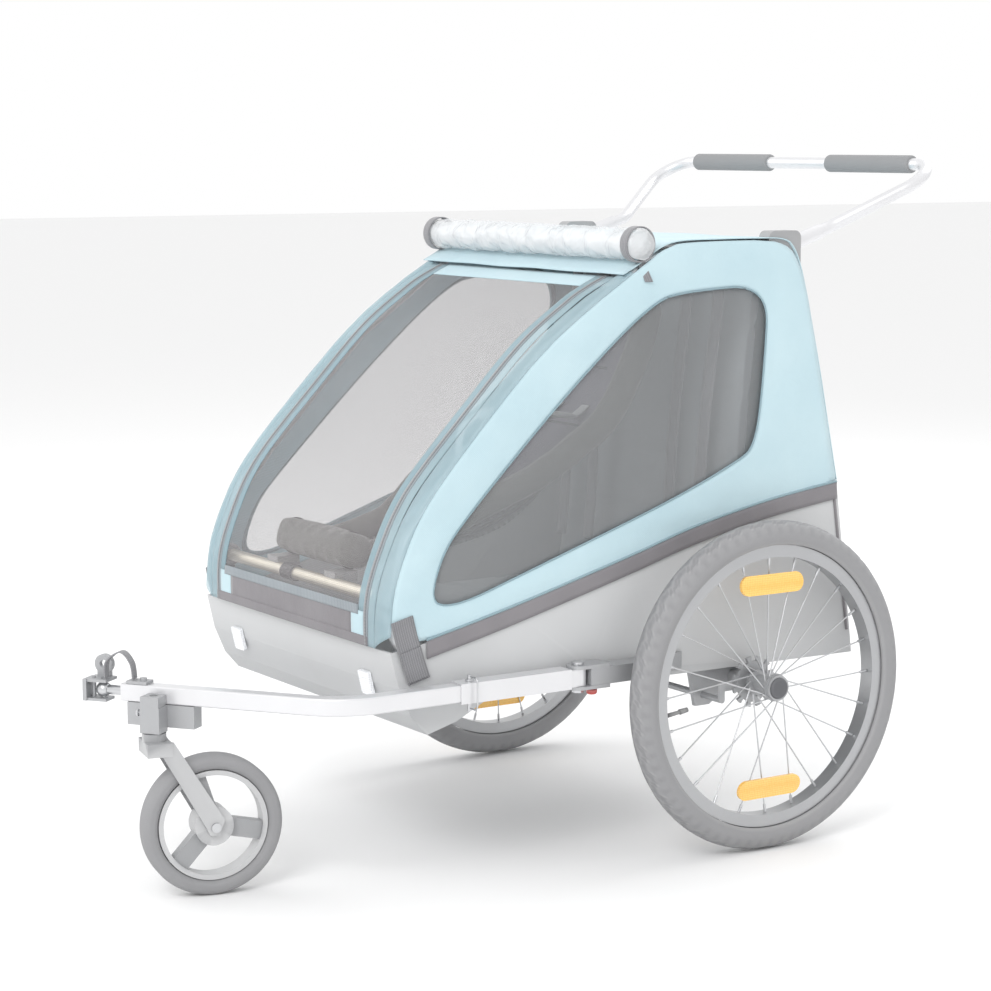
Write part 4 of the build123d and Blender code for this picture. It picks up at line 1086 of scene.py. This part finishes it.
            def oval(u: float, v: float) -> float:
                turn = u * math.tau
                oblong = 16 * 5.5 / math.hypot(5.5 * math.cos(turn), 16 * math.sin(turn))
                return oblong * MM * (0.7 + 0.3 * math.sin(math.pi * v) ** 0.4)

            padding = self.kit.piece(f"{side.word}_shoulder_pad", tube(sleeve, oval, 40, 20), FOLDS,
                                     "pale_webbing", "fabric_grey")
            fold_with_cage(padding)

    def build(self) -> None:
        """Makes the whole sling."""
        self.rails()
        self.net()
        self.pad()
        self.bolster()
        self.harness()


@dataclass
class RainRoll:
    """The clear rain cover, rolled and held by a webbing loop at each end."""

    kit: Kit

    def build(self) -> None:
        """Makes the crumpled roll and its two loops."""
        low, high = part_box("rain_cover_roll")
        middle, radius = (low + high) / 2, (high.z - low.z) / 2
        chance = random.Random(7)
        bumps = [(chance.uniform(3, 34), chance.uniform(0, math.tau), chance.randint(1, 6),
                  chance.uniform(0.2, 1)) for _ in range(16)]
        for layer, share in enumerate((1.0, 0.8, 0.55)):
            ends = 1.0 - 0.01 * layer
            path = [Vector((middle.x + (k / 8 - 0.5) * (high.x - low.x) * ends, middle.y,
                            middle.z)) for k in range(9)]

            def crumple(u: float, v: float, size: float = share, salt: int = layer) -> float:
                wave = 0.0
                for f, p, n, a in bumps:
                    wave += a * math.sin(f * v * math.tau + p + salt) * math.sin(n * u * math.tau + p * 2)
                waist = 1 - 0.10 * sum(math.exp(-((v - at) / 0.012) ** 2) for at in (0.028, 0.972))
                return radius * size * (0.97 + 0.022 * wave) * waist

            roll = self.kit.piece(f"rolled_film_{layer + 1}", tube(path, crumple, 240, 44), "cage",
                                  "clear_film", "clear_film")
            if layer == 0:
                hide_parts("rain_cover_roll")
        first = None
        for side in Side:
            x = side.value * 0.274
            ring = hoop(Vector((x, middle.y, middle.z)), radius * 1.06, radius * 1.06, 24)
            loop = finish(f"{side.word}_roll_loop", ribbon(ring, Vector((1, 0, 0)), 96, 0.016), "cage")
            drops = ((0, 0, 0), (side.value * 0.004, 0.002, -0.012), (side.value * 0.012, 0.006, -0.030))
            tail_path = [ring[19] + Vector(drop) for drop in drops]
            tail = finish(f"{side.word}_loop_tail", ribbon(tail_path, Vector((0.3, 1, 0)), 16, 0.012), "cage")
            for piece, length in ((loop, math.tau * radius * 1.06), (tail, 0.036)):
                self.kit.dress(piece, "webbing")
                thicken(piece, 2.0)
            first = first or loop
        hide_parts("roll_straps")


@dataclass
class Wheels:
    """The two spoked wheels and the small front wheel."""

    kit: Kit
    knobs: int = 72
    tread_depth: float = 2.6  # millimetres
    lip_radius: float = 0.2155  # the tyre's edge in the rim, in metres
    lip_half: float = 0.0105

    def tyre(self, side: Side) -> None:
        """A tyre with wavy grooves and shoulder blocks, spun from its section."""
        low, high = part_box(f"{side.word}_tyre")
        hub = (low + high) / 2
        outer, half = (high.z - low.z) / 2, (high.x - low.x) / 2
        middle = outer - half
        mesh = bmesh.new()
        section = []
        for k in range(29):
            turn = math.radians(-128 + 256 * k / 28)
            section.append(mesh.verts.new((hub.x + math.sin(turn) * half * 0.995, hub.y,
                                           hub.z + middle + math.cos(turn) * half * 0.985)))
        lip = [mesh.verts.new((hub.x + s * self.lip_half, hub.y, hub.z + self.lip_radius)) for s in (-1, 1)]
        line = [lip[0], *section, lip[1]]
        edges = [mesh.edges.new(pair) for pair in zip(line, line[1:])]
        bmesh.ops.spin(mesh, geom=line + edges, cent=hub, axis=(1, 0, 0), angle=math.tau, steps=360,
                       use_merge=True)
        for vert in mesh.verts:
            across = (vert.co.x - hub.x) / half
            arm = Vector((0, vert.co.y - hub.y, vert.co.z - hub.z))
            radius = arm.length
            if radius < middle + half * 0.2:
                continue
            angle = math.atan2(arm.y, arm.z)
            wave = math.sin(angle * self.knobs / 2 + (0 if across > 0 else math.pi))
            shoulder = abs(across)
            groove = self.tread_depth * math.exp(-((shoulder - 0.34 - 0.16 * wave) / 0.05) ** 2)
            if shoulder > 0.62:
                groove += self.tread_depth * max(0.0, math.sin(angle * self.knobs) * 0.5 + 0.1)
            vert.co -= arm.normalized() * groove * MM
        piece = self.kit.piece(f"{side.word}_tyre_casing", mesh, f"{side.word}_wheel", "pale_rubber", "tyre")
        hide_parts(f"{side.word}_tyre")

    def valve(self, side: Side) -> None:
        """A valve with its cap, standing in from the rim."""
        low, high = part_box(f"{side.word}_rim")
        hub = (low + high) / 2
        mesh = bmesh.new()
        for depth, radius, length in ((0.172, 0.0032, 0.03), (0.158, 0.0042, 0.014)):
            made = bmesh.ops.create_cone(mesh, cap_ends=True, segments=20, radius1=radius,
                                         radius2=radius * 0.85, depth=length)
            bmesh.ops.rotate(mesh, verts=made["verts"], cent=(0, 0, 0),
                             matrix=Matrix.Rotation(math.radians(90), 3, "X"))
            bmesh.ops.translate(mesh, verts=made["verts"], vec=hub + Vector((0, depth, 0)))
        bmesh.ops.rotate(mesh, verts=mesh.verts, cent=hub,
                         matrix=Matrix.Rotation(math.radians(187.5), 3, "X"))
        piece = self.kit.piece(f"{side.word}_valve", mesh, f"{side.word}_wheel", "black_acetal",
                               "dark_plastic")

    def build(self) -> None:
        """Dresses both wheels and the front wheel."""
        for side in Side:
            self.tyre(side)
            self.valve(side)
            n = side.word
            self.kit.dress_node(f"{n}_rim", "rim_alloy")
            self.kit.dress_node(f"{n}_spokes", "zinc_steel")
            self.kit.dress_node(f"{n}_hub", "cast_alloy")
            self.kit.dress_node(f"{n}_hub_button", "dark_nylon")
            self.kit.dress_node(f"{n}_wheel_reflectors", "amber_reflector")
        self.kit.dress_node("caster_tyre", "pale_rubber")
        self.kit.dress_node("caster_rim", "fork_nylon")
        self.kit.dress_node("caster_fork", "fork_nylon")
        self.kit.dress_node("caster_axle", "zinc_steel")


@dataclass
class Fittings:
    """Webbing on the tub and arm, and the finishes of every metal and moulded part."""

    kit: Kit

    def tie_straps(self) -> None:
        """Webbing that holds the cover down at the front corners, with its hook-and-loop end."""
        first = None
        for side in Side:
            n = side.word
            path = [on_side(side, y, z, out) for y, z,
                    out in ((-588, 396, 3.5), (-582, 368, 4.5), (-572, 336, 4.0), (-562, 306, 3.4))]
            piece = finish(f"{n}_tie_strap", ribbon(path, Vector((0, 1, 0.25)), 30, 0.036), "base")
            end = [on_side(side, y, z, out) for y, z,
                   out in ((-576, 352, 6.4), (-570, 330, 6.2), (-563, 309, 5.6))]
            patch = finish(f"{n}_tie_end", ribbon(end, Vector((0, 1, 0.25)), 20, 0.033), "base")
            for cloth, length in ((piece, 0.094), (patch, 0.045)):
                self.kit.dress(cloth, "webbing")
                thicken(cloth, 1.8)
            first = first or piece
        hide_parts("tie_straps")

    def corner_tapes(self) -> None:
        """Grey cloth tapes down the tub's rear corners, over the joint of its side and rear walls."""
        for side in Side:
            foot, head = (212, 304), (186, 530)
            path = [Vector(foot).lerp(Vector(head), k / 8) for k in range(9)]

            def skin(u: float, v: float, s: int = side.value) -> Vector:
                y, z = sample([Vector((0, *p)) for p in path], v).yz
                turn = max(0.0, u - 0.7) / 0.3 * math.pi / 2
                start, corner = 255.0, side_x(y, z) - 8
                x = start + (corner - start) * min(u / 0.7, 1.0) + 9 * math.sin(turn)
                return place(s * x, y + 2 - 10 * (1 - math.cos(turn)), z)

            tape = self.kit.piece(f"{side.word}_corner_tape", woven(20, 40, skin, (0.058, 0.228)), "base",
                                  "grey_polyester", "fabric_grey")
            thicken(tape, 1.4)

    def hitch_strap(self) -> None:
        """The webbing loop over the hitch."""
        low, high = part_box("safety_strap")
        along = (Vector((low.x, low.y, 0)) - Vector((high.x, high.y, 0))).normalized()
        across = Vector((-along.y, along.x, 0))
        start = Vector((high.x - 0.005, high.y - 0.005, low.z + 0.002))
        stop = Vector((low.x + 0.005, low.y + 0.005, low.z + 0.001))
        top = high.z - low.z
        path = [start, start + along * 0.004 + Vector((0, 0, top * 0.6)),
                start.lerp(stop, 0.45) + Vector((0, 0, top)),
                stop - along * 0.002 + Vector((0, 0, top * 0.62)), stop]
        piece = self.kit.piece("hitch_webbing", ribbon(path, across, 60, 0.015), "tow_arm", "webbing",
                               "fabric_grey")
        thicken(piece, 2.0)
        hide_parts("safety_strap")

    def build(self) -> None:
        """Makes the webbing and dresses the carried-over parts."""
        self.tie_straps()
        self.corner_tapes()
        self.hitch_strap()
        finishes = {
            "anodised_tube": ["base_frame", "posts", "cage_tubes", "rear_legs", "handlebar", "tow_arm",
                              "tow_sleeve"],
            "cast_alloy": ["axle", "brake_lever", "tow_bracket", "hitch_cup", "caster_receiver"],
            "zinc_steel": ["tow_bolt", "hitch_ball", "arm_pin", "lock_pin"],
            "champagne_tube": ["crossbar"],
            "black_acetal": ["crossbar_collar", "sling_clips", "sling_hooks"],
            "grey_nylon": ["hinge_caps", "left_latch", "right_latch"],
            "dark_nylon": ["corner_caps"],
            "red_nylon": ["tow_button"],
            "foam_grip": ["handlebar_grips"],
            "tub_shell": ["tub"],
            "clear_reflector": ["front_reflectors"],
        }
        for name, nodes in finishes.items():
            for node in nodes:
                self.kit.dress_node(node, name)


@dataclass
class Studio:
    """Pale floor, soft lights and the camera."""

    azimuth: float = 57.18
    elevation: float = 8.25
    lens: float = 93.8
    shift: tuple[float, float] = (0.0088, 0.0194)
    stand: tuple[float, float, float] = (3.333, -2.412, 1.059)  # the camera's place from the axle's Y

    def light(self, name: str, at: tuple[float, float, float], size: float, power: float) -> None:
        """One square soft light that faces the trailer."""
        data = bpy.data.lights.new(name, "AREA")
        data.size = size
        data.energy = power
        lamp = bpy.data.objects.new(name, data)
        lamp.location = at
        lamp.rotation_euler = (Vector((0, 0, 0.5)) - Vector(at)).to_track_quat("-Z", "Y").to_euler()
        bpy.context.scene.collection.objects.link(lamp)

    def build(self) -> None:
        """Sets the floor, the lights, the sky and the camera."""
        scene = bpy.context.scene
        mesh = bmesh.new()
        bmesh.ops.create_grid(mesh, x_segments=1, y_segments=1, size=30.0)
        data = bpy.data.meshes.new("floor")
        mesh.to_mesh(data)
        mesh.free()
        floor = bpy.data.objects.new("floor", data)
        floor.location.z = -0.0005
        scene.collection.objects.link(floor)
        material, _, shader = begin("pale_floor")
        shader.inputs["Base Color"].default_value = (0.9, 0.9, 0.9, 1.0)
        shader.inputs["Roughness"].default_value = 0.9
        data.materials.append(material)
        world = bpy.data.worlds.new("studio")
        world.use_nodes = True
        world.node_tree.nodes["Background"].inputs[0].default_value = (1.0, 1.0, 1.0, 1.0)
        world.node_tree.nodes["Background"].inputs[1].default_value = 1.0
        scene.world = world
        self.light("key", (2.6, -3.4, 3.6), 2.0, 95.0)
        self.light("fill", (-3.2, -2.2, 2.4), 3.0, 30.0)
        self.light("back", (-0.6, 3.4, 3.2), 2.6, 60.0)
        camera = bpy.data.cameras.new("camera")
        camera.lens = self.lens
        camera.sensor_width = 36.0
        camera.shift_x, camera.shift_y = self.shift
        eye = bpy.data.objects.new("camera", camera)
        eye.location = Vector(self.stand) + Vector((0, AXLE_Y, 0))
        eye.rotation_euler = (math.radians(90 - self.elevation), 0, math.radians(self.azimuth))
        scene.collection.objects.link(eye)
        scene.camera = eye
        scene.view_settings.view_transform = "Standard"


def main() -> None:
    """Builds the trailer's looks, sub-assembly by sub-assembly."""
    logging.basicConfig(level=logging.INFO, format="%(message)s")
    Studio().build()
    kit = Kit()
    for part in (Shell(kit), FrontCover(kit), Seat(kit), Sling(kit), RainRoll(kit), Wheels(kit),
                 Fittings(kit)):
        LOG.info("building %s", type(part).__name__)
        part.build()


if __name__ == "__main__":
    main()
